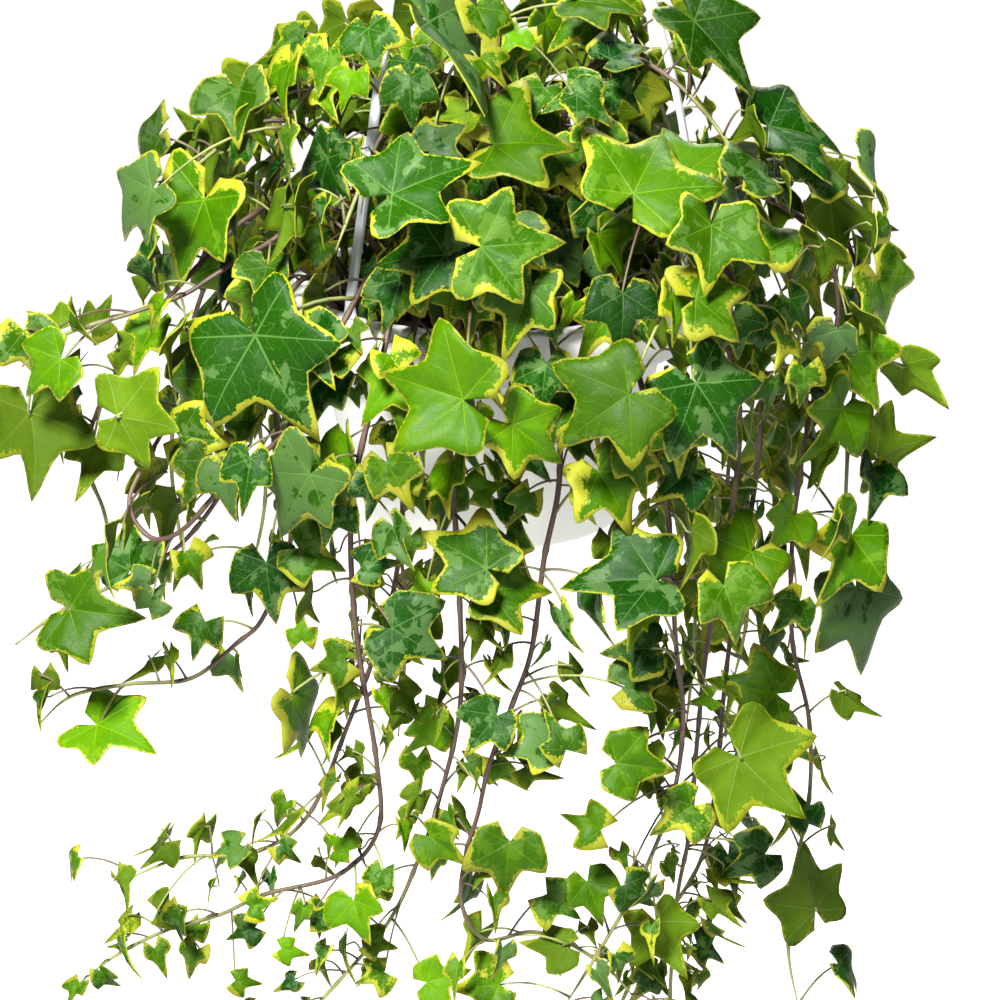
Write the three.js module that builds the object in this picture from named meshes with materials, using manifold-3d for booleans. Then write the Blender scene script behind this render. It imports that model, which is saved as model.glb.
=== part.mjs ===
// A hanging pot of variegated English ivy, in millimetres with +Z up.
// The plant and its pot are laid out round the middle of the pot's rim, with the front towards -Y.
// The whole is then lowered, so that the origin is where the hook bears on what carries it.
import * as THREE from 'three';
import { mergeVertices } from 'three/addons/utils/BufferGeometryUtils.js';
import Module from 'manifold-3d';

const wasm = await Module();
wasm.setup();

// Pot: thin-walled, tapered, with a hollow collar whose flat top holds the hanger
const RIM_RADIUS = 85.5;
const COLLAR_HEIGHT = 22;
const COLLAR_WALL = 1.6;
const COLLAR_TAPER = 0.8;
const FLANGE_THICKNESS = 2;
const MOUTH_RADIUS = 77.4;
const POT_HEIGHT = 102;
const BASE_RADIUS = 57;
const BASE_EDGE = 1.5;
const RIM_EDGE = 1;
const POT_WALL = 1.8;
const POT_SIDES = 24;

// Soil: a filled plug, 0.3 mm clear of the pot, with a plain hole for each stem
const SEAT_GAP = 0.3;
const SOIL_LEVEL = -14;
const SOIL_DOME = 5;
const SOIL_BEND = 42;
const HOLE_DEPTH = 16;
const HOLE_CLEARANCE = 0.3;
const HOLE_SIDES = 4;

// Hanger: one moulding, three flat arms that clip into the collar and meet under a hook. An arm
// is bowed outward most at a share of 1 / (1 + BOW_FALL) of the way from its foot to the hub.
const HANG_DROP = 449;
const HUB_HEIGHT = 404;
const ARM_SEAT_RADIUS = 82;
const ARM_WIDTH = 4.2;
const ARM_THICKNESS = 2.8;
const ARM_CHAMFER = 0.7;
const ARM_STEPS = 5;
const HUB_ARM_RADIUS = 3;
const ARM_FOOT = 6;
const BOW_FALL = 5;
const BARB_WIDTH = 6.8;
const BARB_TIP_WIDTH = 2.8;
const BARB_LENGTH = 6.7;
const BARB_THICKNESS = 2;
const SHOULDER_HEIGHT = 5;
const SHOULDER_TOP_WIDTH = 3.6;
const SLOT_CLEARANCE = 0.4;
const HOOK_RADIUS = 15;
const HOOK_THICKNESS = 4.4;
const HOOK_SIDES = 6;
const HOOK_NECK = [[0, -3], [1, 5], [8, 13]];
const HOOK_START = -40;
const HOOK_END = 212;
const HOOK_STEPS = 9;
const HUB_TOP_RADIUS = 5;
const HUB_BOTTOM_RADIUS = 7;
const HUB_THICKNESS = 9;
const HUB_SIDES = 10;
const ARMS = [
  { name: 'left', azimuth: -44, bow: 0 },
  { name: 'right', azimuth: 74, bow: 14 },
  { name: 'back', azimuth: -166, bow: 6 },
];

// Plant: stems are jointed tubes, and every joint can bear leaves
const JOINT_SPACING = 34;
const STEM_SIDES = 4;
const CURVE_STEPS = 16;
const STEM_LIFT = 3;
const STEM_ROOT_RADIUS = 1.8;
const STEM_TIP_RADIUS = 1.0;
const PETIOLE_SIDES = 3;
const PETIOLE_RADIUS = 0.85;
const BLADE_THICKNESS = 0.7;
const LARGE_BLADE = 27;
const MIDDLE_BLADE = 19;
const SEAT_IN = 1.4;
const SEAT_RING = 0.9 * PETIOLE_RADIUS;
const SHORT_PETIOLE = 20;
const PETIOLE_ARCH = 0.22;
const NECK_DROP = 2.4;
const NECK_SETBACK = 1.6;

// Distances that leaves keep, measured between sample points this far apart
const SAMPLE_STEP = 4.5;
const BAR_SAMPLE_STEP = 3;
const BLADE_CLEARANCE = 4.4;
const PETIOLE_CLEARANCE = 3.4;
const POT_CLEARANCE = 3;
const OWN_JOINT = 7;
const MOUTH_DEPTH = 6;
const STAND_HEIGHT = 50;
const STAND_MARGIN = 6;

// Where leaves spring: how near a joint has to be, how many it bears, and how one more on it or
// a climb to the leaf counts against it. Then where on the stem, as shares of a joint's length.
const NEAREST_JOINT = 12;
const FURTHEST_JOINT = 90;
const MOST_ON_JOINT = 3;
const CROWDING = 8;
const CLIMB = 0.4;
const JOINTS_TRIED = 6;
const FIRST_SPRING = 0.25;
const NEXT_SPRING = 0.2;
const LEAF_TRIES = 14;

// Ranges that a blade's form is drawn from: how its sides rise, its tip drops and it spreads
const CUP = [0.1, 0.4];
const DROOP = [0.06, 0.32];
const BREADTH = [0.85, 1.1];

// Ranges for a leaf that isn't seen from the front: its turn and lean in radians, its size as a
// share of its stem's, and how far it sits from its joint, which is split three ways
const FIRST_SEED = 500;
const GROWN_TURN = [-0.8, 0.8];
const GROWN_LEAN = [0.3, 1.1];
const GROWN_SIZE = [0.85, 1.15];
const SMALLER_EACH_TRY = 0.03;
const TIP_ACROSS = [-0.1, 1.3];
const TIP_ALONG = 0.6;
const LEAST_REACH = 8;
const REACH = [0.5, 1];
const OUTWARD = 0.75;
const SIDEWAYS = [0.2, 0.8];
const UPWARD = [-0.35, 0.65];

const UP = new THREE.Vector3(0, 0, 1);
const radians = THREE.MathUtils.degToRad;
const vector = (values) => new THREE.Vector3(...values);

// Each stem: azimuth and radius of its hole in the soil (0 is the front, + is to the right),
// leaf length near the pot and at the tip, and the points that it passes through
const STEMS = [
  { name: 'curl_left', hole: [-40, 60], leaf: [30, 16], path: [[-46, -72, 22], [-60, -96, 5],
    [-72, -108, -16], [-82, -113, -33], [-106, -110, -55], [-124, -104, -76], [-138, -96, -82],
    [-147, -88, -70], [-140, -80, -54], [-129, -72, -36], [-118, -64, -12], [-110, -60, 3]] },
  { name: 'far_left', hole: [-100, 60], leaf: [30, 16], path: [[-84, -2, 32], [-101, -18, 32],
    [-116, -26, 19], [-132, -31, 3], [-145, -34, -12], [-159, -37, -35], [-168, -39, -56],
    [-169, -40, -72], [-163, -40, -90], [-160, -40, -112]] },
  { name: 'left_high', hole: [-75, 34], leaf: [28, 16], path: [[-62, -38, 40], [-93, -60, 30],
    [-112, -67, 20], [-124, -70, 13], [-146, -74, 6], [-172, -76, -2], [-190, -74, -16]] },
  { name: 'left_sweep', hole: [-62, 62], leaf: [26, 12], path: [[-75, -50, 15], [-88, -64, -8],
    [-86, -77, -50], [-82, -80, -89], [-94, -75, -124], [-106, -70, -138], [-126, -64, -156],
    [-153, -58, -161], [-178, -54, -168], [-192, -52, -181]] },
  { name: 'left_low', hole: [-85, 63], leaf: [28, 14], path: [[-86, -22, 14], [-102, -38, -18],
    [-106, -46, -64], [-128, -46, -100], [-156, -45, -119], [-182, -43, -133], [-203, -40, -150]] },
  { name: 'fan_wide', hole: [-28, 60], leaf: [28, 12], path: [[-36, -80, 16], [-46, -102, -20],
    [-53, -109, -49], [-56, -108, -79], [-54, -104, -124], [-47, -97, -180], [-47, -91, -214],
    [-64, -85, -237], [-96, -79, -249], [-116, -74, -261], [-139, -70, -270], [-162, -66, -284],
    [-181, -62, -301]] },
  { name: 'fan_short', hole: [-20, 36], leaf: [24, 12], path: [[-20, -66, 26], [-31, -92, 0],
    [-34, -94, -50], [-40, -88, -110], [-60, -80, -172], [-78, -73, -216], [-102, -65, -236],
    [-133, -59, -241], [-161, -55, -255]] },
  { name: 'middle_left', hole: [-8, 62], leaf: [28, 12], path: [[-13, -84, 14], [-17, -100, -18],
    [-15, -104, -56], [-13, -102, -90], [-12, -98, -152], [-21, -91, -199], [-31, -85, -232],
    [-44, -81, -262], [-71, -79, -297], [-88, -77, -316]] },
  { name: 'middle_long', hole: [16, 61], leaf: [28, 14], path: [[22, -82, 14], [27, -99, -18],
    [28, -105, -55], [22, -106, -88], [17, -105, -128], [9, -103, -153], [0, -101, -179],
    [-5, -99, -203], [-10, -99, -221], [-12, -98, -244], [-2, -92, -264], [21, -85, -264],
    [48, -76, -283], [66, -72, -306]] },
  { name: 'front_right', hole: [38, 61], leaf: [30, 16], path: [[50, -73, 16], [60, -93, -14],
    [66, -105, -42], [72, -109, -70], [76, -105, -124], [80, -99, -161], [76, -93, -200],
    [63, -90, -238], [46, -90, -271], [30, -89, -300]] },
  { name: 'bundle_front', hole: [62, 62], leaf: [28, 16], path: [[79, -44, 16], [97, -52, -12],
    [103, -58, -39], [102, -63, -69], [97, -67, -102], [91, -67, -142], [88, -63, -185],
    [86, -58, -228], [81, -55, -263], [79, -51, -313], [81, -48, -344]] },
  { name: 'bundle_back', hole: [84, 62], leaf: [26, 16], path: [[87, -10, 18], [107, -12, -6],
    [115, -17, -41], [113, -25, -81], [106, -33, -124], [101, -38, -168], [98, -39, -214],
    [92, -36, -253], [73, -32, -290], [60, -28, -322], [50, -26, -352]] },
  { name: 'right_thick', hole: [95, 36], leaf: [28, 16], path: [[78, 4, 42], [112, 1, 38],
    [132, -4, 27], [144, -9, 11], [147, -13, -14], [139, -20, -38], [133, -26, -67],
    [129, -30, -106], [130, -32, -151], [138, -34, -187], [139, -34, -225], [133, -34, -263],
    [132, -34, -298], [138, -34, -328]] },
  { name: 'right_far', hole: [112, 62], leaf: [32, 20], path: [[92, 26, 42], [118, 24, 45],
    [140, 22, 35], [153, 20, 13], [160, 14, -12], [158, 8, -42], [155, 4, -72], [154, 0, -107],
    [152, -2, -144]] },
  { name: 'crown_front', hole: [0, 30], leaf: [26, 18], path: [[2, -40, 22], [4, -64, 46],
    [1, -90, 50], [-4, -108, 38], [-8, -118, 16]] },
  { name: 'crown_left', hole: [-60, 20], leaf: [28, 20], path: [[-24, -20, 40], [-33, -44, 72],
    [-42, -72, 80], [-50, -96, 66], [-60, -110, 42]] },
  { name: 'crown_right', hole: [50, 24], leaf: [28, 20], path: [[25, -26, 34], [38, -50, 58],
    [54, -78, 60], [70, -100, 46], [82, -110, 22]] },
  { name: 'crown_top_left', hole: [-120, 22], leaf: [26, 20], path: [[-30, 6, 50], [-44, -12, 88],
    [-59, -36, 100], [-74, -54, 92], [-86, -68, 74]] },
  { name: 'crown_top_right', hole: [110, 20], leaf: [28, 22], path: [[26, 4, 50], [38, -12, 90],
    [54, -34, 104], [73, -52, 98], [90, -62, 82], [106, -68, 58]] },
  { name: 'crown_top', hole: [180, 12], leaf: [28, 24], path: [[2, 9, 50], [4, -2, 96],
    [2, -26, 114], [-6, -54, 114], [-20, -80, 100]] },
  { name: 'crown_far_left', hole: [-95, 38], leaf: [28, 24], path: [[-58, 8, 42], [-78, 2, 66],
    [-97, -8, 70], [-114, -20, 61], [-130, -32, 49]] },
  { name: 'crown_far_right', hole: [75, 42], leaf: [24, 20], path: [[62, -18, 26], [86, -34, 44],
    [106, -50, 42], [120, -60, 24], [126, -66, 0], [124, -70, -26]] },
  { name: 'side_left', hole: [-112, 62], leaf: [33, 20], path: [[-88, 34, 24], [-116, 38, 4],
    [-134, 36, -42], [-141, 32, -92], [-135, 26, -140]] },
  { name: 'back_left', hole: [-130, 61], leaf: [35, 24], path: [[-72, 60, 20], [-96, 76, -10],
    [-107, 82, -60], [-103, 80, -120], [-110, 77, -158]] },
  { name: 'back_left_long', hole: [-155, 61], leaf: [35, 18], path: [[-38, 84, 20], [-46, 108, -16],
    [-48, 116, -70], [-46, 114, -130], [-40, 106, -190], [-44, 100, -250]] },
  { name: 'back_middle', hole: [178, 61], leaf: [35, 24], path: [[4, 88, 18], [2, 110, -18],
    [-4, 118, -70], [6, 118, -120], [2, 112, -152]] },
  { name: 'back_right_long', hole: [152, 61], leaf: [35, 18], path: [[40, 82, 20], [54, 106, -14],
    [72, 114, -66], [86, 112, -126], [96, 106, -186], [92, 98, -250]] },
  { name: 'back_right', hole: [130, 61], leaf: [35, 20], path: [[74, 58, 22], [98, 72, -8],
    [112, 76, -60], [108, 74, -120], [118, 68, -170], [110, 62, -214]] },
  { name: 'crown_back_left', hole: [-150, 34], leaf: [32, 26], path: [[-28, 42, 44], [-44, 62, 74],
    [-64, 82, 74], [-82, 96, 54], [-94, 104, 24]] },
  { name: 'crown_back_right', hole: [148, 34], leaf: [32, 26], path: [[26, 42, 46], [42, 60, 78],
    [58, 80, 80], [74, 96, 60], [84, 106, 28]] },
  { name: 'crown_back', hole: [182, 36], leaf: [32, 26], path: [[-2, 50, 50], [0, 72, 82],
    [-3, 98, 84], [0, 118, 62], [3, 130, 28]] },
];

// Leaves seen from the front: place of the blade's base x, y, z, length of the middle lobe,
// heading of its tip as seen (0 is right, 90 is up), turn to the right and lean back in degrees,
// and kind. Those of kind 'under' show their underside.
const SEEN_LEAVES = [
  [-10, -150, -7, 37, 165, -10, 20, 'lime'], [9, -138, -21, 28, -40, 15, 10, 'lime'],
  [54, -146, -6, 34, -145, 0, 25, 'edged'], [81, -128, -7, 37, -60, 20, 20, 'dark'],
  [80, -130, 28, 28, 5, 25, 35, 'edged'], [52, -132, 29, 25, -95, 10, 30, 'dark'],
  [22, -126, 0, 21, -95, 0, 15, 'dark'], [-3, -140, 51, 33, 5, 0, 25, 'edged'],
  [-17, -122, 43, 30, -175, -10, 35, 'dark'], [-37, -128, 70, 37, 30, -10, 40, 'dark'],
  [56, -112, 65, 40, 60, 10, 40, 'edged'], [77, -104, 65, 29, 85, 20, 45, 'lime'],
  [48, -62, 108, 22, 30, 10, 60, 'dark'], [40, -84, 97, 21, -170, -10, 50, 'dark'],
  [36, -50, 129, 27, -5, 0, 55, 'edged'], [81, -66, 124, 38, -60, 25, 40, 'dark'],
  [-24, -84, 127, 54, -58, 68, 40, 'pale'], [108, -84, 34, 26, 70, 35, 35, 'edged'],
  [86, -112, 55, 28, -105, 25, 30, 'edged'], [100, -86, 68, 21, 25, 30, 50, 'dark'],
  [121, -72, 13, 20, -60, 50, 20, 'dark'], [132, -58, -4, 19, -120, 60, 10, 'lime'],
  [113, -88, -18, 16, -95, 40, 10, 'dark'], [126, -60, -25, 20, -65, 50, 15, 'edged'],
  [129, -44, 55, 25, 35, 45, 40, 'dark'], [113, -40, 78, 41, -20, 40, 55, 'dark'],
  [142, -6, 42, 42, -40, 60, 20, 'under'], [164, 2, 3, 30, -70, 45, 15, 'edged'],
  [166, -6, -78, 31, 10, 50, 0, 'under'], [126, -60, -85, 20, -135, 35, 10, 'lime'],
  [147, -42, -44, 29, -135, 45, 10, 'lime'], [107, -88, -91, 32, -145, 20, 30, 'lime'],
  [66, -122, -89, 38, -180, 0, 50, 'dark'], [49, -126, -78, 18, -110, 60, 10, 'under'],
  [154, -30, -104, 35, -130, 40, 20, 'edged'], [158, -18, -132, 43, -80, 40, 10, 'pale'],
  [120, -72, -160, 28, 160, 20, 20, 'edged'], [121, -62, -185, 22, -35, 30, 40, 'edged'],
  [103, -78, -176, 37, -50, 20, 15, 'under'], [141, -56, -267, 36, 105, 25, 10, 'under'],
  [138, -48, -230, 18, 95, 40, 20, 'dark'], [118, -64, -237, 22, -160, 20, 20, 'dark'],
  [71, -78, -262, 27, -65, 10, 10, 'under'], [52, -118, -172, 25, -10, 5, 20, 'edged'],
  [55, -118, -138, 19, 15, 0, 40, 'edged'], [3, -116, -152, 21, -130, 0, 35, 'dark'],
  [23, -122, -164, 19, -175, 10, 45, 'pale'], [31, -118, -162, 18, 115, 10, 10, 'edged'],
  [-25, -108, -209, 20, -35, -10, 20, 'edged'], [8, -108, -212, 26, -95, 0, 10, 'edged'],
  [41, -92, -237, 20, -70, 0, 30, 'lime'], [57, -96, -234, 17, -40, 10, 20, 'dark'],
  [24, -90, -244, 18, -35, 0, 30, 'edged'], [32, -84, -266, 20, -175, 0, 50, 'under'],
  [4, -84, -289, 21, -175, 0, 30, 'edged'], [-27, -96, -282, 20, 15, 0, 20, 'lime'],
  [-1, -128, -84, 33, 150, -5, 30, 'edged'], [-1, -122, -95, 27, 0, 5, 40, 'edged'],
  [-92, -112, 8, 48, -55, -25, 15, 'dark'], [-70, -122, -41, 36, -120, -20, 5, 'pale'],
  [-173, -84, -10, 24, -135, -25, 20, 'lime'], [-189, -62, -39, 36, -75, -20, 10, 'under'],
  [-150, -64, -33, 36, 0, -25, 10, 'under'], [-116, -52, 48, 39, -105, -35, 20, 'edged'],
  [-136, -46, 55, 33, -135, -40, 20, 'pale'], [-129, -30, 49, 18, 170, -40, 30, 'lime'],
  [-78, -28, 100, 27, -170, -25, 45, 'edged'], [-106, -14, 69, 19, 95, -40, 10, 'under'],
  [-120, -14, 58, 20, 135, -50, 10, 'under'], [-48, -66, 121, 21, -70, -20, 35, 'dark'],
  [-31, -96, 107, 20, -85, -10, 20, 'dark'], [-23, -112, 82, 20, 40, 0, 30, 'pale'],
  [-78, -72, 83, 24, -90, -75, 10, 'edged'],
  [-81, -88, 53, 24, -85, -50, 10, 'under'], [-176, -58, -5, 16, 160, -20, 30, 'under'],
  [-164, -54, -6, 18, 60, -30, 20, 'under'], [-153, -64, -14, 17, -20, -30, 15, 'under'],
  [-125, -90, -42, 24, 0, -30, 10, 'edged'], [-105, -100, -46, 21, -80, -25, 20, 'pale'],
  [-62, -112, -63, 18, -105, -10, 25, 'dark'], [-150, -66, -107, 25, 100, -20, 20, 'dark'],
  [-164, -50, -55, 25, -95, -20, 10, 'under'], [-175, -62, -122, 31, 0, -20, 20, 'edged'],
  [-91, -98, -92, 26, -80, -15, 15, 'dark'], [-141, -74, -106, 17, -175, -10, 30, 'pale'],
  [-167, -70, -179, 30, -5, -30, 60, 'lime'], [-82, -88, -155, 36, -65, 65, 10, 'edged'],
  [-39, -126, -110, 25, -30, -5, 20, 'dark'], [-59, -104, -130, 17, -160, -10, 20, 'edged'],
  [-51, -122, -85, 17, 5, 0, 20, 'dark'], [-77, -104, -82, 20, -20, -10, 30, 'edged'],
  [80, -116, -47, 20, -145, 10, 25, 'dark'], [130, -62, -122, 19, -140, 30, 20, 'edged'],
  [65, -108, -122, 20, 180, 5, 30, 'dark'], [84, -92, -200, 21, -145, 10, 20, 'edged'],
  [46, -108, -206, 18, 160, 0, 20, 'edged'], [2, -92, 80, 34, 8, 0, 50, 'edged'],
  [34, -78, 102, 19, -40, 10, 35, 'dark'], [26, -96, 72, 24, -54, 0, 20, 'edged'],
  [40, -44, 121, 21, -144, 0, 40, 'edged'], [-64, -60, 111, 20, -94, -30, 30, 'edged'],
];

// Blade outlines as angle from the middle lobe and reach, from the notch round to its other side
const FIVE_LOBES = [[-158, 0.30], [-118, 0.56], [-90, 0.47], [-57, 0.82], [-30, 0.56], [0, 1],
  [30, 0.56], [57, 0.82], [90, 0.47], [118, 0.56], [158, 0.30]];
const PLAIN_LOBES = [[-150, 0.36], [-112, 0.52], [-56, 0.78], [-30, 0.54], [0, 1],
  [30, 0.54], [56, 0.78], [112, 0.52], [150, 0.36]];
const THREE_LOBES = [[-130, 0.44], [-56, 0.74], [-28, 0.50], [0, 1], [28, 0.50], [56, 0.74],
  [130, 0.44]];

const COLOURS = {
  pot: { color: 0xdfe0da, roughness: 0.45 },
  soil: { color: 0x2e2119, roughness: 0.95 },
  hanger: { color: 0xf1f3f5, roughness: 0.35 },
  leaf: { color: 0x3d7a23, roughness: 0.5 },
};

// Joining and cutting of closed shapes
function toSolid(geometry) {
  const shape = geometry.index ? geometry.clone() : geometry;
  shape.deleteAttribute('normal');
  shape.deleteAttribute('uv');
  const merged = mergeVertices(shape, 1e-4);
  return new wasm.Manifold(new wasm.Mesh({
    numProp: 3,
    vertProperties: new Float32Array(merged.attributes.position.array),
    triVerts: new Uint32Array(merged.index.array),
  }));
}

function toGeometry(solid) {
  const mesh = solid.getMesh();
  const geometry = new THREE.BufferGeometry();
  geometry.setAttribute('position', new THREE.BufferAttribute(mesh.vertProperties, 3));
  geometry.setIndex(new THREE.BufferAttribute(mesh.triVerts, 1));
  geometry.computeVertexNormals();
  return geometry;
}

const join = (solids) => solids.reduce((whole, piece) => whole.add(piece));

function closedGeometry(corners, faces) {
  const geometry = new THREE.BufferGeometry();
  const numbers = corners.flatMap((corner) => corner.toArray());
  geometry.setAttribute('position', new THREE.Float32BufferAttribute(numbers, 3));
  geometry.setIndex(faces.flat());
  return geometry;
}

// The rings of a bar along a line of points, with its own section at each point. A section is a
// list of offsets along and across the width direction, which starts at the first or last point.
function barRings(points, sectionAt, widthHint, fromEnd = false) {
  const rings = [];
  let wide = widthHint;
  const order = points.map((_, i) => (fromEnd ? points.length - 1 - i : i));
  for (const i of order) {
    const before = points[Math.max(i - 1, 0)];
    const after = points[Math.min(i + 1, points.length - 1)];
    const along = after.clone().sub(before).normalize();
    wide = wide.clone().addScaledVector(along, -wide.dot(along)).normalize();
    const across = along.clone().cross(wide);
    rings[i] = sectionAt(i).map(([a, b]) => (
      points[i].clone().addScaledVector(wide, a).addScaledVector(across, b)));
  }
  return rings;
}

function barFaces(count, sides) {
  const faces = [];
  for (let i = 0; i + 1 < count; i += 1) {
    for (let k = 0; k < sides; k += 1) {
      const a = i * sides + k;
      const b = i * sides + (k + 1) % sides;
      faces.push([a, b, b + sides], [a, b + sides, a + sides]);
    }
  }
  for (let k = 1; k + 1 < sides; k += 1) {
    faces.push([0, k + 1, k]);
  }
  return faces;
}

function sweep(points, sectionAt, widthHint) {
  const rings = barRings(points, sectionAt, widthHint);
  const sides = rings[0].length;
  const last = (points.length - 1) * sides;
  const faces = barFaces(points.length, sides);
  for (let k = 1; k + 1 < sides; k += 1) {
    faces.push([last, last + k, last + k + 1]);
  }
  return closedGeometry(rings.flat(), faces);
}

function roundSection(radius, sides) {
  return Array.from({ length: sides }, (_, k) => {
    const angle = (2 * Math.PI * (k + 0.5)) / sides;
    return [radius * Math.cos(angle), radius * Math.sin(angle)];
  });
}

function flatSection(width, thickness, chamfer) {
  const w = width / 2;
  const t = thickness / 2;
  return [[w - chamfer, t], [chamfer - w, t], [-w, 0], [chamfer - w, -t], [w - chamfer, -t], [w, 0]];
}

function material({ color, roughness }) {
  return new THREE.MeshStandardMaterial({ color, roughness, metalness: 0, side: THREE.DoubleSide });
}

function part(name, geometry, finish) {
  const mesh = new THREE.Mesh(geometry, material(finish));
  mesh.name = name;
  return mesh;
}

const polar = (azimuth, radius, height) => vector([
  radius * Math.sin(radians(azimuth)), -radius * Math.cos(radians(azimuth)), height]);

// A seeded row of numbers from 0 to 1, the same wherever it is worked out
function drawer(seed) {
  let state = (seed * 7919 + 104729) % 2147483647;
  return () => {
    state = (state * 16807) % 2147483647;
    return state / 2147483647;
  };
}

// The next number of a row, brought into a range
const within = ([least, most], draw) => least + (most - least) * draw();

// Pot
function innerWall(height) {
  const share = -height / (POT_HEIGHT - POT_WALL);
  return MOUTH_RADIUS + share * (BASE_RADIUS - POT_WALL / 2 - MOUTH_RADIUS);
}

const outerWall = (height) => innerWall(height) + POT_WALL;

function lathe(profile, sides) {
  const geometry = new THREE.LatheGeometry(profile.map(([r, z]) => new THREE.Vector2(r, z)), sides);
  geometry.rotateX(Math.PI / 2);
  return geometry;
}

function potSolid() {
  const floorTop = POT_WALL - POT_HEIGHT;
  const profile = [
    [0, -POT_HEIGHT], [BASE_RADIUS, -POT_HEIGHT],
    [outerWall(BASE_EDGE - POT_HEIGHT), BASE_EDGE - POT_HEIGHT],
    [outerWall(-FLANGE_THICKNESS), -FLANGE_THICKNESS],
    [RIM_RADIUS - COLLAR_WALL, -FLANGE_THICKNESS],
    [RIM_RADIUS - COLLAR_WALL + COLLAR_TAPER, -COLLAR_HEIGHT],
    [RIM_RADIUS + COLLAR_TAPER, -COLLAR_HEIGHT],
    [RIM_RADIUS, -RIM_EDGE], [RIM_RADIUS - RIM_EDGE, 0], [MOUTH_RADIUS, 0],
    [innerWall(floorTop), floorTop], [0, floorTop],
  ];
  let pot = toSolid(lathe(profile, POT_SIDES));
  for (const arm of ARMS) {
    const slot = new THREE.BoxGeometry(ARM_WIDTH + 2 * SLOT_CLEARANCE,
      ARM_THICKNESS + 2 * SLOT_CLEARANCE, 3 * FLANGE_THICKNESS);
    slot.rotateZ(radians(arm.azimuth));
    const place = polar(arm.azimuth, ARM_SEAT_RADIUS, 0);
    slot.translate(place.x, place.y, place.z);
    pot = pot.subtract(toSolid(slot));
  }
  return pot;
}

// Soil
const holePlace = (stem) => polar(stem.hole[0], stem.hole[1], 0);

function soilLevel(radius) {
  return SOIL_LEVEL + SOIL_DOME * Math.cos((Math.PI * radius) / (2 * MOUTH_RADIUS));
}

function soilSolid() {
  const floor = POT_WALL - POT_HEIGHT + SEAT_GAP;
  const side = innerWall(SOIL_LEVEL) - SEAT_GAP;
  const profile = [[0, floor], [innerWall(floor) - SEAT_GAP, floor], [side, SOIL_LEVEL],
    [SOIL_BEND, soilLevel(SOIL_BEND)], [0, soilLevel(0)]];
  let soil = toSolid(lathe(profile, POT_SIDES));
  for (const stem of STEMS) {
    const radius = (STEM_ROOT_RADIUS + HOLE_CLEARANCE) / Math.cos(Math.PI / HOLE_SIDES);
    const hole = new THREE.CylinderGeometry(radius, radius, 2 * HOLE_DEPTH, HOLE_SIDES);
    hole.rotateX(Math.PI / 2);
    const place = holePlace(stem);
    hole.translate(place.x, place.y, soilLevel(stem.hole[1]));
    soil = soil.subtract(toSolid(hole));
  }
  return soil;
}

// Hanger
const bowShape = (share) => share * (1 - share) ** BOW_FALL;
const FULL_BOW = bowShape(1 / (1 + BOW_FALL));

function armPoints(arm) {
  const points = [];
  for (const height of [-BARB_LENGTH - FLANGE_THICKNESS, 0, ARM_FOOT]) {
    points.push(polar(arm.azimuth, ARM_SEAT_RADIUS, height));
  }
  for (let i = 1; i <= ARM_STEPS; i += 1) {
    const share = i / ARM_STEPS;
    const straight = ARM_SEAT_RADIUS * (1 - share) + HUB_ARM_RADIUS * share;
    const radius = straight + (arm.bow * bowShape(share)) / FULL_BOW;
    points.push(polar(arm.azimuth, radius, ARM_FOOT + share * (HUB_HEIGHT - ARM_FOOT)));
  }
  return points;
}

function clipPlate(outline, arm) {
  const shape = new THREE.Shape(outline.map(([x, y]) => new THREE.Vector2(x, y)));
  const plate = new THREE.ExtrudeGeometry(shape, { depth: BARB_THICKNESS, bevelEnabled: false });
  plate.translate(0, 0, -BARB_THICKNESS / 2);
  plate.rotateX(Math.PI / 2);
  plate.rotateZ(radians(arm.azimuth));
  const place = polar(arm.azimuth, ARM_SEAT_RADIUS, 0);
  plate.translate(place.x, place.y, 0);
  return plate;
}

const taper = (low, bottom, high, top) => (
  [[-low / 2, bottom], [low / 2, bottom], [high / 2, top], [-high / 2, top]]);

function armSolid(arm) {
  const section = flatSection(ARM_WIDTH, ARM_THICKNESS, ARM_CHAMFER);
  const width = new THREE.Vector3(Math.cos(radians(arm.azimuth)), Math.sin(radians(arm.azimuth)), 0);
  const bar = sweep(armPoints(arm), () => section, width);
  const top = -FLANGE_THICKNESS - SEAT_GAP;
  const barb = clipPlate(taper(BARB_TIP_WIDTH, top - BARB_LENGTH, BARB_WIDTH, top), arm);
  const shoulder = clipPlate(taper(BARB_WIDTH, SEAT_GAP, SHOULDER_TOP_WIDTH, SHOULDER_HEIGHT), arm);
  return join([bar, barb, shoulder].map(toSolid));
}

function hookPoints() {
  const centre = -(HOOK_THICKNESS / 2) - HOOK_RADIUS + HANG_DROP + HOOK_THICKNESS;
  const points = HOOK_NECK.map(([x, z]) => vector([x, 0, HUB_HEIGHT + z]));
  for (let i = 0; i <= HOOK_STEPS; i += 1) {
    const angle = radians(HOOK_START + ((HOOK_END - HOOK_START) * i) / HOOK_STEPS);
    points.push(vector([HOOK_RADIUS * Math.cos(angle), 0, centre + HOOK_RADIUS * Math.sin(angle)]));
  }
  return points;
}

function hangerSolid() {
  const section = roundSection(HOOK_THICKNESS / 2 / Math.cos(Math.PI / HOOK_SIDES), HOOK_SIDES);
  const hook = sweep(hookPoints(), () => section, new THREE.Vector3(0, 1, 0));
  const hub = new THREE.CylinderGeometry(HUB_TOP_RADIUS, HUB_BOTTOM_RADIUS, HUB_THICKNESS, HUB_SIDES);
  hub.rotateX(Math.PI / 2);
  hub.translate(0, 0, HUB_HEIGHT - 1);
  return join([...ARMS.map(armSolid), toSolid(hub), toSolid(hook)]);
}

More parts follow.
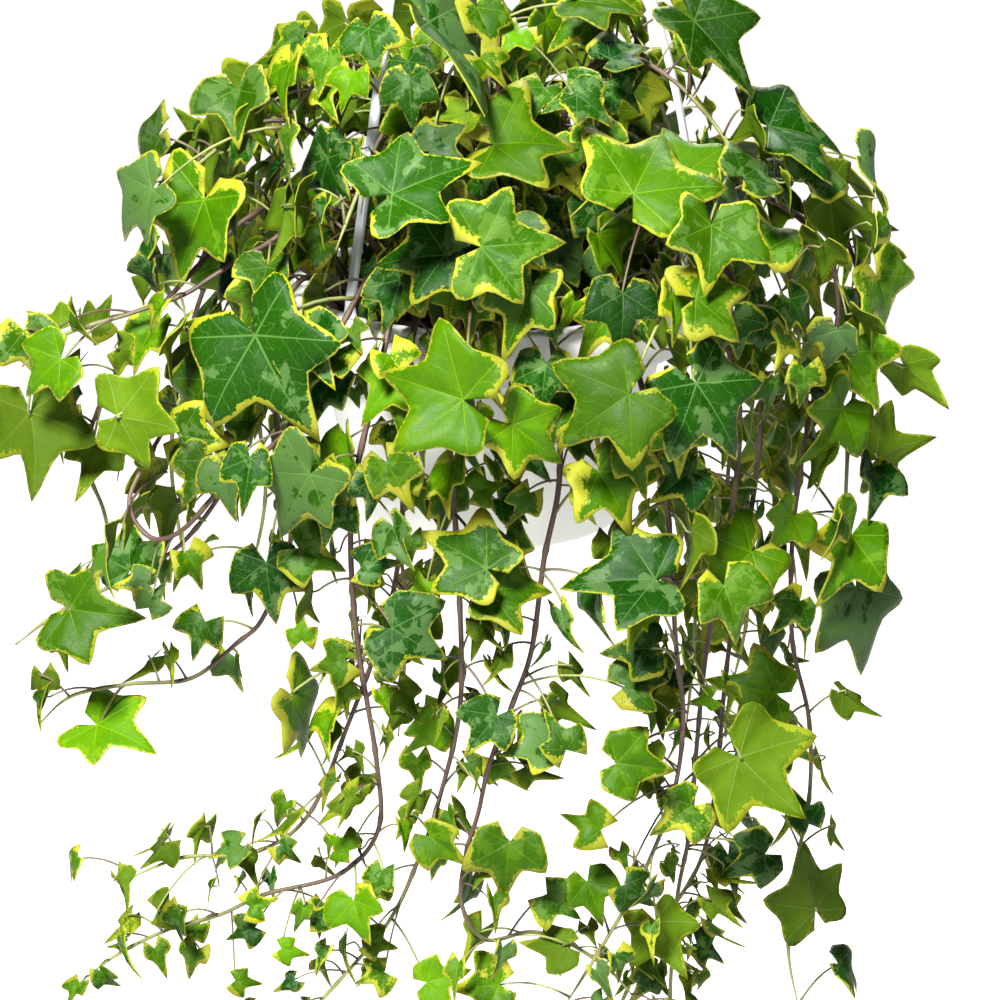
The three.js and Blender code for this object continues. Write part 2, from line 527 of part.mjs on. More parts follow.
// Stems: a smooth line through the points, cut into joints of equal length
function smoothPoint(points, place) {
  const i = Math.min(Math.floor(place), points.length - 2);
  const t = place - i;
  const a = points[Math.max(i - 1, 0)];
  const b = points[i];
  const c = points[i + 1];
  const d = points[Math.min(i + 2, points.length - 1)];
  const mix = (k) => 0.5 * (2 * b[k] + (c[k] - a[k]) * t
    + (2 * a[k] - 5 * b[k] + 4 * c[k] - d[k]) * t * t
    + (3 * b[k] - a[k] - 3 * c[k] + d[k]) * t * t * t);
  return vector([mix(0), mix(1), mix(2)]);
}

function stemJoints(stem) {
  const hole = holePlace(stem);
  const top = soilLevel(stem.hole[1]);
  const points = [[hole.x, hole.y, top + STEM_LIFT], ...stem.path];
  const line = [];
  for (let i = 0; i <= (points.length - 1) * CURVE_STEPS; i += 1) {
    line.push(smoothPoint(points, i / CURVE_STEPS));
  }
  const lengths = [0];
  for (let i = 1; i < line.length; i += 1) {
    lengths.push(lengths[i - 1] + line[i].distanceTo(line[i - 1]));
  }
  const total = lengths[lengths.length - 1];
  const count = Math.round(total / JOINT_SPACING);
  const joints = [];
  let at = 0;
  for (let i = 0; i <= count; i += 1) {
    const wanted = (total * i) / count;
    while (at < line.length - 2 && lengths[at + 1] < wanted) {
      at += 1;
    }
    const share = (wanted - lengths[at]) / (lengths[at + 1] - lengths[at]);
    joints.push(line[at].clone().lerp(line[at + 1], Math.min(share, 1)));
  }
  return joints;
}

const stemRadius = (share) => STEM_ROOT_RADIUS + (STEM_TIP_RADIUS - STEM_ROOT_RADIUS) * share;

function stemSolid(plant) {
  const hole = holePlace(plant.stem);
  const top = soilLevel(plant.stem.hole[1]);
  const foot = vector([hole.x, hole.y, top - HOLE_DEPTH + SEAT_GAP]);
  const neck = vector([hole.x, hole.y, top + 1]);
  const points = [foot, neck, ...plant.joints.slice(1)];
  const last = points.length - 1;
  return toSolid(sweep(points, (i) => roundSection(stemRadius(i / last), STEM_SIDES),
    new THREE.Vector3(1, 0, 0)));
}

// Places already taken, as points with the piece that they belong to
const taken = [];

function isClear(points, gap, mayTouch) {
  const box = new THREE.Box3().setFromPoints(points).expandByScalar(gap);
  const near = taken.filter(({ at, owner }) => box.containsPoint(at) && !mayTouch(owner, at));
  return points.every((point) => near.every(({ at }) => at.distanceTo(point) >= gap));
}

// The pot with a margin, and the space under it where it can be stood down
function meetsPot({ x, y, z }) {
  const radius = Math.hypot(x, y);
  const insideMouth = radius < MOUTH_RADIUS - POT_CLEARANCE && z > -MOUTH_DEPTH;
  const level = z < POT_CLEARANCE && z > -POT_HEIGHT - POT_CLEARANCE;
  const under = z <= -POT_HEIGHT && z > -POT_HEIGHT - STAND_HEIGHT
    && radius < BASE_RADIUS + STAND_MARGIN;
  return under || (level && radius < RIM_RADIUS + POT_CLEARANCE && !insideMouth);
}

function pointsAlong(line, step) {
  const points = [];
  for (let i = 0; i + 1 < line.length; i += 1) {
    const pieces = Math.max(Math.ceil(line[i].distanceTo(line[i + 1]) / step), 1);
    for (let k = i === 0 ? 0 : 1; k <= pieces; k += 1) {
      points.push(line[i].clone().lerp(line[i + 1], k / pieces));
    }
  }
  return points;
}

// Leaves: a blade on a petiole that springs from a joint of the stem
function outlineOf({ length }) {
  if (length >= LARGE_BLADE) {
    return FIVE_LOBES;
  }
  return length >= MIDDLE_BLADE ? PLAIN_LOBES : THREE_LOBES;
}

function bladePoint(leaf, angle, reach) {
  const u = reach * Math.cos(radians(angle));
  const v = reach * Math.sin(radians(angle)) * leaf.breadth;
  const height = leaf.cup * Math.abs(v) - leaf.droop * u * Math.abs(u);
  const side = leaf.face.clone().cross(leaf.tip);
  return leaf.base.clone().addScaledVector(leaf.tip, u * leaf.length)
    .addScaledVector(side, v * leaf.length).addScaledVector(leaf.face, height * leaf.length);
}

function bladeSamples(leaf) {
  const rim = outlineOf(leaf).map(([angle, reach]) => bladePoint(leaf, angle, reach));
  const points = [leaf.base];
  rim.forEach((corner, i) => {
    points.push(...pointsAlong([leaf.base, corner], SAMPLE_STEP).slice(1));
    if (i + 1 < rim.length) {
      const middle = corner.clone().lerp(rim[i + 1], 0.5);
      points.push(...pointsAlong([leaf.base, middle], SAMPLE_STEP).slice(1));
    }
  });
  return points;
}

// The petiole meets the underside just inside the notch
function petioleLine(leaf) {
  const seat = bladePoint(leaf, 0, SEAT_IN / leaf.length);
  const neck = seat.clone().addScaledVector(leaf.face, -NECK_DROP)
    .addScaledVector(leaf.tip, -NECK_SETBACK);
  const bend = leaf.root.clone().lerp(neck, 0.5);
  const span = leaf.root.distanceTo(neck);
  bend.z += PETIOLE_ARCH * span;
  const bow = new THREE.QuadraticBezierCurve3(leaf.root, bend, neck);
  const places = span < SHORT_PETIOLE ? [0, 1] : [0, 0.5, 1];
  return [...places.map((t) => bow.getPoint(t)), seat];
}

// One closed shape: the blade's two faces are split alike round the seat of the petiole
function leafSolid(leaf) {
  const line = petioleLine(leaf);
  const side = leaf.face.clone().cross(leaf.tip);
  const section = roundSection(PETIOLE_RADIUS, PETIOLE_SIDES);
  const rings = barRings(line, () => section, side, true).slice(0, -1);
  const half = BLADE_THICKNESS / 2;
  const seat = line[line.length - 1];
  rings.push([0, 120, 240].map((angle) => seat.clone()
    .addScaledVector(leaf.tip, SEAT_RING * Math.cos(radians(angle)))
    .addScaledVector(side, SEAT_RING * Math.sin(radians(angle)))
    .addScaledVector(leaf.face, -half)));
  const faces = barFaces(rings.length, PETIOLE_SIDES);
  const ring = (rings.length - 1) * PETIOLE_SIDES;
  const rim = [leaf.base, ...outlineOf(leaf).map(([angle, reach]) => bladePoint(leaf, angle, reach))];
  const count = rim.length;
  const corners = [...rings.flat(), seat.clone().addScaledVector(leaf.face, half)];
  const hub = corners.length - 1;
  const top = corners.length;
  const bottom = top + count;
  for (const h of [half, -half]) {
    corners.push(...rim.map((p) => p.clone().addScaledVector(leaf.face, h)));
  }
  const turns = [ring + 2, ring, ring + 1];
  let hand = 0;
  for (let i = 0; i < count; i += 1) {
    const next = (i + 1) % count;
    if (hand < 2 && i >= Math.round((count * (1 + hand)) / 3)) {
      faces.push([bottom + i, turns[hand], turns[hand + 1]]);
      hand += 1;
    }
    faces.push([hub, top + i, top + next], [turns[hand], bottom + next, bottom + i]);
    faces.push([top + i, bottom + i, bottom + next], [top + i, bottom + next, top + next]);
  }
  faces.push([bottom, turns[2], turns[0]]);
  return toSolid(closedGeometry(corners, faces));
}

function leafFits(leaf, plant) {
  const blade = bladeSamples(leaf);
  const petiole = pointsAlong(petioleLine(leaf), BAR_SAMPLE_STEP);
  const free = petiole.filter((p) => p.distanceTo(leaf.root) > OWN_JOINT);
  const open = free.filter((p) => p.distanceTo(leaf.base) > OWN_JOINT);
  if (blade.some(meetsPot) || free.some(meetsPot)) {
    return false;
  }
  if (open.some((p) => blade.some((q) => q.distanceTo(p) < PETIOLE_CLEARANCE))) {
    return false;
  }
  const own = (owner) => owner === plant.name;
  if (!isClear(blade, BLADE_CLEARANCE, () => false) || !isClear(free, PETIOLE_CLEARANCE, own)) {
    return false;
  }
  leaf.samples = [...blade, ...free];
  return true;
}

// Petioles spring a little below their joint, one after another where it bears several
function rootOf(plant, place) {
  const share = FIRST_SPRING + NEXT_SPRING * plant.borne[place];
  return plant.joints[place].clone().lerp(plant.joints[place - 1], share);
}

function keepLeaf(leaf, plant) {
  plant.leaves.push(leaf);
  plant.borne[leaf.place] += 1;
  taken.push(...leaf.samples.map((at) => ({ at, owner: 'leaf' })));
}

function leafShape(draw) {
  return { cup: within(CUP, draw), droop: within(DROOP, draw), breadth: within(BREADTH, draw) };
}

// A leaf seen from the front hangs on the nearest free joint, moved in depth where it must be
const DEPTH_SHIFTS = [0, -5, 5, -10, 10, -16, 16, -24, 24];

function seenLeaf([x, y, z, length, heading, turn, lean, kind], index, plants) {
  const shape = leafShape(drawer(index + 1));
  const rise = radians(lean);
  const way = radians(heading);
  const tip = vector([Math.cos(way), Math.sin(way) * Math.sin(rise), Math.sin(way) * Math.cos(rise)]);
  const face = vector([0, -Math.cos(rise), Math.sin(rise)]);
  tip.applyAxisAngle(UP, radians(turn));
  face.applyAxisAngle(UP, radians(turn));
  if (kind === 'under') {
    face.negate();
  }
  const choices = [];
  for (const plant of plants) {
    plant.joints.forEach((joint, place) => {
      const far = joint.distanceTo(vector([x, y, z])) + CLIMB * Math.max(z - joint.z, 0);
      const borne = plant.borne[place];
      if (place > 0 && far > NEAREST_JOINT && far < FURTHEST_JOINT && borne < MOST_ON_JOINT) {
        choices.push({ plant, place, far: far + CROWDING * borne });
      }
    });
  }
  choices.sort((a, b) => a.far - b.far);
  for (const shift of DEPTH_SHIFTS) {
    for (const { plant, place } of choices.slice(0, JOINTS_TRIED)) {
      const base = vector([x, y + shift, z]);
      const leaf = { base, tip, face, length, kind, place, root: rootOf(plant, place), ...shape };
      if (leafFits(leaf, plant)) {
        keepLeaf(leaf, plant);
        return true;
      }
    }
  }
  return false;
}

// Any other joint bears a leaf on alternate sides, turned outward and up, with its tip hanging
const KINDS = ['edged', 'edged', 'dark', 'edged', 'lime', 'edged', 'pale', 'dark', 'edged', 'under'];

function growLeaf(plant, place, draw) {
  const { stem, joints } = plant;
  const joint = joints[place];
  const share = place / (joints.length - 1);
  const length = stem.leaf[0] + (stem.leaf[1] - stem.leaf[0]) * share;
  const kind = KINDS[Math.floor(draw() * KINDS.length)];
  const before = joints[place - 1];
  const along = joint.clone().sub(before).normalize();
  for (let tries = 0; tries < LEAF_TRIES; tries += 1) {
    const out = vector([joint.x, joint.y, 0]).normalize();
    out.applyAxisAngle(UP, within(GROWN_TURN, draw));
    const across = UP.clone().cross(out).multiplyScalar(place % 2 ? 1 : -1);
    const size = length * within(GROWN_SIZE, draw) * (1 - SMALLER_EACH_TRY * tries);
    const reach = LEAST_REACH + size * within(REACH, draw);
    const base = joint.clone().addScaledVector(out, reach * OUTWARD)
      .addScaledVector(across, reach * within(SIDEWAYS, draw))
      .addScaledVector(UP, reach * within(UPWARD, draw));
    const lean = within(GROWN_LEAN, draw);
    const face = out.clone().multiplyScalar(Math.cos(lean)).addScaledVector(UP, Math.sin(lean));
    const tip = across.clone().multiplyScalar(within(TIP_ACROSS, draw)).addScaledVector(UP, -1)
      .addScaledVector(along, TIP_ALONG);
    tip.addScaledVector(face, -tip.dot(face)).normalize();
    const root = rootOf(plant, place);
    const leaf = { base, tip, face, length: size, kind, place, root, ...leafShape(draw) };
    if (leafFits(leaf, plant)) {
      keepLeaf(leaf, plant);
      return true;
    }
  }
  return false;
}

function makePlants() {
  const plants = STEMS.map((stem) => {
    const joints = stemJoints(stem);
    return { name: stem.name, stem, joints, borne: joints.map(() => 0), leaves: [] };
  });
  for (const arm of ARMS) {
    taken.push(...pointsAlong(armPoints(arm), BAR_SAMPLE_STEP).map((at) => ({ at, owner: 'hanger' })));
  }
  for (const plant of plants) {
    taken.push(...pointsAlong(plant.joints, BAR_SAMPLE_STEP).map((at) => ({ at, owner: plant.name })));
  }
  SEEN_LEAVES.forEach((row, index) => seenLeaf(row, index, plants));
  plants.forEach((plant, index) => {
    const draw = drawer(FIRST_SEED + index);
    const first = plant.name.startsWith('crown') ? 1 : 2;
    for (let place = plant.joints.length - 1; place >= first; place -= 1) {
      if ([-1, 0, 1].every((step) => !plant.borne[place + step])) {
        growLeaf(plant, place, draw);
      }
    }
  });
  return plants;
}

// The whole object, lowered so that the hook's bearing point is the origin
const assembly = new THREE.Group();
const plants = makePlants();
assembly.add(part('pot', toGeometry(potSolid()), COLOURS.pot));
assembly.add(part('soil', toGeometry(soilSolid()), COLOURS.soil));
assembly.add(part('hanger', toGeometry(hangerSolid()), COLOURS.hanger));
for (const plant of plants) {
  const solid = join([stemSolid(plant), ...plant.leaves.map(leafSolid)]);
  assembly.add(part(`ivy_${plant.name}`, toGeometry(solid), COLOURS.leaf));
}
assembly.position.z = -HANG_DROP;

const object = new THREE.Group();
object.add(assembly);
export default object;
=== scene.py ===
# A hanging pot of variegated English ivy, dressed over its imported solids.
# Lengths are in millimetres round the middle of the pot's rim, front towards -Y, until a mesh
# is made: there they are lowered to hang from the hook's bearing point and turned to metres.
import math

import bpy
import numpy as np
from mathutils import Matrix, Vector


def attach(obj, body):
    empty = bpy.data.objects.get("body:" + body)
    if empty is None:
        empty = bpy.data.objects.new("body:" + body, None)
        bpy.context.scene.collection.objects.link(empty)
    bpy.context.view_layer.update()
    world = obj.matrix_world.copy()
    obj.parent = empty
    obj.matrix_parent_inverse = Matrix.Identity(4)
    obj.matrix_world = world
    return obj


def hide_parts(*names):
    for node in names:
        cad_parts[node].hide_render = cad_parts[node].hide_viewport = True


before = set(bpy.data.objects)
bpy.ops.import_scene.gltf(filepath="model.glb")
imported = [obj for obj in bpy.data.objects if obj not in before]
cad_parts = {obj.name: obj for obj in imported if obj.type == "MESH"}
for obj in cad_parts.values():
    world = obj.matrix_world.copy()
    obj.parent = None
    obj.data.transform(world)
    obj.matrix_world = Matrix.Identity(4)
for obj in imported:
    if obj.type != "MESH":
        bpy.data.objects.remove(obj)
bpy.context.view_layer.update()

# Studio
# A pale floor two metres under the hook, a nearly dark sky and three soft lights: a strong one at
# the camera's upper left, a faint one at its right and one behind the plant. The camera stands a
# little above the rim and looks down on the plant, as in the photograph.
HANG_DROP = 449.0
FLOOR_DEPTH = 2.0
FLOOR_REACH = 40.0
DARK_FLOOR, LIT_FLOOR = 2.3, 3.0
LEAST_GLOW, MOST_GLOW = 0.12, 0.96
SKY_STRENGTH = 0.02
PLANT_MIDDLE = Vector((0, 0, -0.45))
CAMERA_PLACE = (4.25, -1448.89, 388.23)
CAMERA_DIP = 18.557
FOCAL_LENGTH = 126.8
FILM_WIDTH = 36.0
FURTHEST_SEEN = 100.0

# Each lamp's place and side in metres, and its power in watts
LAMPS = {"key_light": ((-0.6, -1.7, 1.4), 0.5, 285.0),
         "fill_light": ((0.5, -2.2, -0.1), 1.2, 14.0),
         "back_light": ((0.4, 1.9, 1.2), 0.8, 70.0)}


def linear(code):
    """An sRGB hex colour as linear light: c / 12.92 if dark, else ((c + 0.055) / 1.055) ** 2.4."""
    c = np.array([int(code[i:i + 2], 16) for i in (1, 3, 5)]) / 255
    return (*np.where(c <= 0.04045, c / 12.92, ((c + 0.055) / 1.055) ** 2.4), 1.0)


def feed(tree, fed, inputs):
    """Gives a node's inputs, by name or number or in their order, a value or a link. A node
    given to one stands for its own first output that is in use."""
    for key, value in inputs.items() if isinstance(inputs, dict) else enumerate(inputs):
        if isinstance(value, bpy.types.Node):
            value = next(socket for socket in value.outputs if socket.enabled)
        if isinstance(value, bpy.types.NodeSocket):
            tree.links.new(value, fed.inputs[key])
        else:
            fed.inputs[key].default_value = value


def node(tree, kind, inputs=(), **settings):
    """Adds a node with its settings, and feeds its inputs."""
    made = tree.nodes.new("ShaderNode" + kind)
    for name, value in settings.items():
        setattr(made, name, value)
    feed(tree, made, inputs)
    return made


def new_finish(name):
    """A material with that name, and the nodes and the shader that it comes with."""
    made = bpy.data.materials.new(name)
    made.use_nodes = True
    return made, made.node_tree, made.node_tree.nodes["Principled BSDF"]


def hung(points):
    """Points round the rim in mm, lowered by the hook's height and divided by 1000."""
    return (np.asarray(points, float) - [0, 0, HANG_DROP]) / 1000


def placed(name, data):
    """An object in the scene for a mesh, a lamp or a camera."""
    made = bpy.data.objects.new(name, data)
    bpy.context.collection.objects.link(made)
    return made


# Floor: smooth matt paint, which gives the eye nothing but an even near-white. Far from the plant
# it glows as a lit backdrop does, and near it hardly at all
floor_paint, tree, shader = new_finish("matt_white_floor_paint")
where = node(tree, "TexCoord").outputs["Object"]
spread = node(tree, "VectorMath", [where], operation="LENGTH")
glow = node(tree, "MapRange", {"Value": spread, "From Min": DARK_FLOOR, "From Max": LIT_FLOOR,
                               "To Min": LEAST_GLOW, "To Max": MOST_GLOW},
            interpolation_type="SMOOTHSTEP")
feed(tree, shader, {"Base Color": linear("#fbfbfb"), "Roughness": 0.9, "Specular IOR Level": 0.1,
                    "Emission Color": (1, 1, 1, 1), "Emission Strength": glow})
floor_mesh = bpy.data.meshes.new("floor")
corners = [(x * FLOOR_REACH, y * FLOOR_REACH, -FLOOR_DEPTH)
           for x, y in ((-1, -1), (1, -1), (1, 1), (-1, 1))]
floor_mesh.from_pydata(corners, [], [(0, 1, 2, 3)])
floor_mesh.materials.append(floor_paint)
floor = placed("floor", floor_mesh)

sky = bpy.data.worlds.new("dark_sky")
sky.use_nodes = True
sky.node_tree.nodes["Background"].inputs["Color"].default_value = (1, 1, 1, 1)
sky.node_tree.nodes["Background"].inputs["Strength"].default_value = SKY_STRENGTH
bpy.context.scene.world = sky

for name, (place, side, power) in LAMPS.items():
    lamp = bpy.data.lights.new(name, "AREA")
    lamp.shape = "SQUARE"
    lamp.size = side
    lamp.energy = power
    light = placed(name, lamp)
    light.location = place
    light.rotation_euler = (PLANT_MIDDLE - light.location).to_track_quat("-Z", "Y").to_euler()

lens = bpy.data.cameras.new("camera")
lens.sensor_width = FILM_WIDTH
lens.lens = FOCAL_LENGTH
lens.clip_end = FURTHEST_SEEN
camera = placed("camera", lens)
camera.location = hung(CAMERA_PLACE)
camera.rotation_euler = (math.radians(90 - CAMERA_DIP), 0, 0)
bpy.context.scene.camera = camera
bpy.context.scene.view_settings.view_transform = "Standard"

# Hanger
# One white moulding that clips into the collar: three flat arms, each with a barb under the
# flange and a shoulder on it, a small hub where they meet, and an open round hook over it.
HUB_HEIGHT = 404.0
ARM_SEAT_RADIUS = 82.0
ARM_WIDTH = 4.2
ARM_THICKNESS = 2.8
HUB_ARM_RADIUS = 3.0
SHOULDER_HEIGHT = 5.0
BARB_WIDTH = 6.8
BARB_THICKNESS = 2.0
BARB_TOP = -2.3
BARB_FOOT = -9.0
ARM_FOOT = 6.0
ARM_STEPS = 40
BOW_FALL = 5
BAR_SIDES = 16
FLAT_BAR = 0.45
HUB_SIDES = 32
HOOK_RADIUS = 15.0
HOOK_THICKNESS = 4.4
HOOK_START, HOOK_END, HOOK_STEPS = -40, 212, 9
HOOK_CURVE_STEPS = 6
HOOK_TIP = np.array([0.94, 0.78, 0.45])
HOOK_NECK = [(0, -3), (1, 5), (8, 13)]
FLOW_SIZE = 7.14

# Azimuth of each arm and how far it is bowed out
ARMS = {"left": (-44, 0), "right": (74, 14), "back": (-166, 6)}

# Height and width of an arm where it clips in: the barb's point and its catch under the flange,
# the neck in the slot, and the shoulder on the flange
ARM_CLIP = np.array([
    (BARB_FOOT, 2.0), (BARB_FOOT + 0.4, 2.8), (BARB_TOP - 0.5, BARB_WIDTH - 0.2),
    (BARB_TOP, BARB_WIDTH - 0.8), (BARB_TOP + 0.05, ARM_WIDTH), (0.28, ARM_WIDTH),
    (0.3, BARB_WIDTH - 0.8), (0.8, BARB_WIDTH), (SHOULDER_HEIGHT, ARM_WIDTH),
    (ARM_FOOT, ARM_WIDTH)])

# Height from the hub's middle and radius there
HUB_PROFILE = [(-5.5, 6.2), (-5.0, 6.9), (-4.0, 7.0), (2.0, 5.6), (3.2, 5.0), (3.5, 4.4)]


def polar(azimuth, radius, height):
    """A point by its azimuth in degrees from the front, to the right: (r sin a, -r cos a, z)."""
    a = np.radians(azimuth)
    return np.stack(np.broadcast_arrays(radius * np.sin(a), -radius * np.cos(a), height), -1)


def unit(vectors):
    """Each vector divided by its own length."""
    vectors = np.asarray(vectors, float)
    return vectors / np.linalg.norm(vectors, axis=-1, keepdims=True)


def ring_faces(count, sides):
    """Faces between rings of equal corners, and a fan at each end to the two points that follow
    the rings: cell k of ring i is (i, k), (i, k + 1), (i + 1, k + 1), (i + 1, k)."""
    i, k = np.meshgrid(np.arange(count - 1), np.arange(sides), indexing="ij")
    a, b = i * sides + k, i * sides + (k + 1) % sides
    walls = np.stack([a, b, b + sides, a + sides], -1).reshape(-1, 4)
    ring = np.arange(sides)
    after = (ring + 1) % sides
    top = (count - 1) * sides
    first, last = np.full(sides, count * sides), np.full(sides, count * sides + 1)
    foot = np.stack([after, ring, first], -1)
    head = np.stack([top + ring, top + after, last], -1)
    return [walls, np.vstack([foot, head])]


def carried(line, sections, hint):
    """A profile carried along a path: corner k of ring i is line[i] + a[i,k] wide + b[i,k] across.
    wide is square to the path: each ring's is the last one's without its part along the path."""
    along = np.empty_like(line)
    along[1:-1] = line[2:] - line[:-2]
    along[0], along[-1] = line[1] - line[0], line[-1] - line[-2]
    along = unit(along)
    wide = np.empty_like(line)
    last = np.asarray(hint, float)
    for i, way in enumerate(along):
        last = unit(last - way * (last @ way))
        wide[i] = last
    across = np.cross(along, wide)
    rings = line[:, None] + sections[..., :1] * wide[:, None] + sections[..., 1:] * across[:, None]
    return {"points": np.vstack([rings.reshape(-1, 3), line[:1], line[-1:]]),
            "faces": ring_faces(*rings.shape[:2])}


def bar_section(width, thickness, sides, squareness=1.0):
    """Corners of a bar: (w/2 sign(cos)|cos|**q, t/2 sign(sin)|sin|**q), where q of 1 is round."""
    angle = 2 * np.pi * (np.arange(sides) + 0.5) / sides
    around = np.stack([np.cos(angle), np.sin(angle)], -1)
    corner = np.sign(around) * np.abs(around) ** squareness
    size = np.stack(np.broadcast_arrays(width, thickness), -1) / 2
    return np.atleast_2d(size)[:, None] * corner[None]


def joined(surfaces):
    """Several surfaces as one: points stacked, and corner numbers raised by the points before."""
    start = np.cumsum([0] + [len(s["points"]) for s in surfaces])
    faces = [block + at for s, at in zip(surfaces, start) for block in s["faces"]]
    made = {"points": np.vstack([s["points"] for s in surfaces]), "faces": faces}
    made["flat"] = [flat for s in surfaces for flat in s.get("flat", [False] * len(s["faces"]))]
    made["layers"] = {key: np.concatenate([s["layers"][key] for s in surfaces])
                      for key in surfaces[0].get("layers", {})}
    return made


def piece(name, surface, finish, slot, *stands_for):
    """A mesh from a surface's points, its blocks of faces and its layers of values at points."""
    mesh = bpy.data.meshes.new(name)
    rows = [row for block in surface["faces"] for row in block.tolist()]
    mesh.from_pydata(hung(surface["points"]).tolist(), [], rows)
    flat = surface.get("flat", [False] * len(surface["faces"]))
    smooth = np.concatenate([np.full(len(b), not f) for b, f in zip(surface["faces"], flat)])
    mesh.polygons.foreach_set("use_smooth", smooth)
    for key, values in surface.get("layers", {}).items():
        kind, field = ("FLOAT", "value") if values.ndim == 1 else ("FLOAT_VECTOR", "vector")
        layer = mesh.attributes.new(key, kind, "POINT")
        layer.data.foreach_set(field, values.astype(np.float32).ravel())
    mesh.materials.append(finish)
    made = placed(name, mesh)
    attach(made, "root")
    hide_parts(*stands_for)
    return made


def smooth_points(points, steps):
    """A smooth line through points. On each span, from b to c, it is
    0.5 (2b + (c-a) t + (2a-5b+4c-d) t2 + (3b-a-3c+d) t3)."""
    p = np.vstack([points[:1], points, points[-1:]])
    place = np.arange((len(points) - 1) * steps + 1) / steps
    i = np.minimum(np.floor(place).astype(int), len(points) - 2)
    t = (place - i)[:, None]
    a, b, c, d = p[i], p[i + 1], p[i + 2], p[i + 3]
    return 0.5 * (2 * b + (c - a) * t + (2 * a - 5 * b + 4 * c - d) * t * t
                  + (3 * b - a - 3 * c + d) * t * t * t)


def arm_radius(share, bow):
    """How far from the axis an arm is: straight from seat to hub, and bowed out in proportion to
    s (1 - s) ** 5, most of all a sixth of the way up."""
    peak = 1 / (1 + BOW_FALL)
    shape = share * (1 - share) ** BOW_FALL / (peak * (1 - peak) ** BOW_FALL)
    return ARM_SEAT_RADIUS * (1 - share) + HUB_ARM_RADIUS * share + bow * shape


def arm_surface(azimuth, bow):
    """One profile carried up the arm: barb, neck in the slot, shoulder, then the plain flat bar."""
    share = np.arange(1, ARM_STEPS + 1) / ARM_STEPS
    clip_heights, clip_widths = ARM_CLIP.T
    heights = np.concatenate([clip_heights, ARM_FOOT + share * (HUB_HEIGHT - ARM_FOOT)])
    widths = np.concatenate([clip_widths, np.full(ARM_STEPS, ARM_WIDTH)])
    thick = np.where(heights <= BARB_TOP, BARB_THICKNESS, ARM_THICKNESS)
    radii = np.concatenate([np.full(len(ARM_CLIP), ARM_SEAT_RADIUS), arm_radius(share, bow)])
    width_way = (math.cos(math.radians(azimuth)), math.sin(math.radians(azimuth)), 0)
    section = bar_section(widths, thick, BAR_SIDES, FLAT_BAR)
    return carried(polar(azimuth, radii, heights), section, width_way)


# Polypropylene, injection moulded: near-white and satin, with a very slight waviness in the gloss
# where the melt flowed, about 7 mm from wave to wave
hanger_plastic, tree, shader = new_finish("white_moulded_polypropylene")
where = node(tree, "TexCoord").outputs["Object"]
flow = node(tree, "TexNoise", {"Vector": where, "Scale": 1000 / FLOW_SIZE, "Detail": 2.0})
gloss = node(tree, "MapRange", {"Value": flow, "To Min": 0.28, "To Max": 0.42})
ripple = node(tree, "Bump", {"Height": flow, "Strength": 0.15, "Distance": 0.0002})
feed(tree, shader, {"Base Color": linear("#dce1e5"), "IOR": 1.49, "Roughness": gloss,
                    "Normal": ripple})

hook_centre = HANG_DROP + HOOK_THICKNESS / 2 - HOOK_RADIUS
turn = np.radians(np.linspace(HOOK_START, HOOK_END, HOOK_STEPS + 1))
hook_corners = np.vstack([[[x, 0, HUB_HEIGHT + z] for x, z in HOOK_NECK],
                          np.stack([HOOK_RADIUS * np.cos(turn), 0 * turn,
                                    hook_centre + HOOK_RADIUS * np.sin(turn)], -1)])
hook_line = smooth_points(hook_corners, HOOK_CURVE_STEPS)
hook_width = np.full(len(hook_line), HOOK_THICKNESS)
hook_width[-len(HOOK_TIP):] *= HOOK_TIP
hub_line = np.array([[0, 0, HUB_HEIGHT + z] for z, _ in HUB_PROFILE])
hub_width = 2 * np.array([radius for _, radius in HUB_PROFILE])
hanger_parts = [arm_surface(*arm) for arm in ARMS.values()]
hanger_parts.append(carried(hook_line, bar_section(hook_width, hook_width, BAR_SIDES), (0, 1, 0)))
hanger_parts.append(carried(hub_line, bar_section(hub_width, hub_width, HUB_SIDES), (1, 0, 0)))
piece("hanger_moulding", joined(hanger_parts), hanger_plastic, "hanger", "hanger")

# Pot
# A thin tapered pot, thermoformed or moulded from off-white plastic, with a hollow collar. Its
# flat top is the flange, with one slot for each arm of the hanger, which snaps in from above.
RIM_RADIUS = 85.5
COLLAR_HEIGHT = 22.0
COLLAR_WALL = 1.6
FLANGE_THICKNESS = 2.0
MOUTH_RADIUS = 77.4
POT_HEIGHT = 102.0
BASE_RADIUS = 57.0
POT_WALL = 1.8
POT_TURNS = 120
SLOT_CLEARANCE = 0.4
SLOT_MARGIN = 0.8
NEARLY = 1e-6
STAIN_SIZE = 35.7
GRAIN_SIZE = 1.11


def inner_wall(height):
    """The pot's inside radius: it falls evenly from the mouth to the floor."""
    share = -height / (POT_HEIGHT - POT_WALL)
    return MOUTH_RADIUS + share * (BASE_RADIUS - POT_WALL / 2 - MOUTH_RADIUS)


def outer_wall(height):
    """The pot's outside radius, one wall out from the inside."""
    return inner_wall(height) + POT_WALL


# The turns at which the profile stands are even, apart from a slot's two sides. None of the even
# ones is in a slot or within a margin of it
slot_reach = ARM_THICKNESS / 2 + SLOT_CLEARANCE
slot_inner, slot_outer = ARM_SEAT_RADIUS - slot_reach, ARM_SEAT_RADIUS + slot_reach
slot_turn = math.degrees(math.asin((ARM_WIDTH / 2 + SLOT_CLEARANCE) / ARM_SEAT_RADIUS))
slots = [(azimuth - slot_turn, azimuth + slot_turn) for azimuth, _ in ARMS.values()]
turns = np.concatenate([np.arange(POT_TURNS) * 360 / POT_TURNS - 180, *slots])
near_slot = [np.abs(turns - (a + b) / 2) < slot_turn + SLOT_MARGIN for a, b in slots]
wanted = ~np.any(near_slot, axis=0)
wanted[POT_TURNS:] = True
turns = np.sort(turns[wanted])

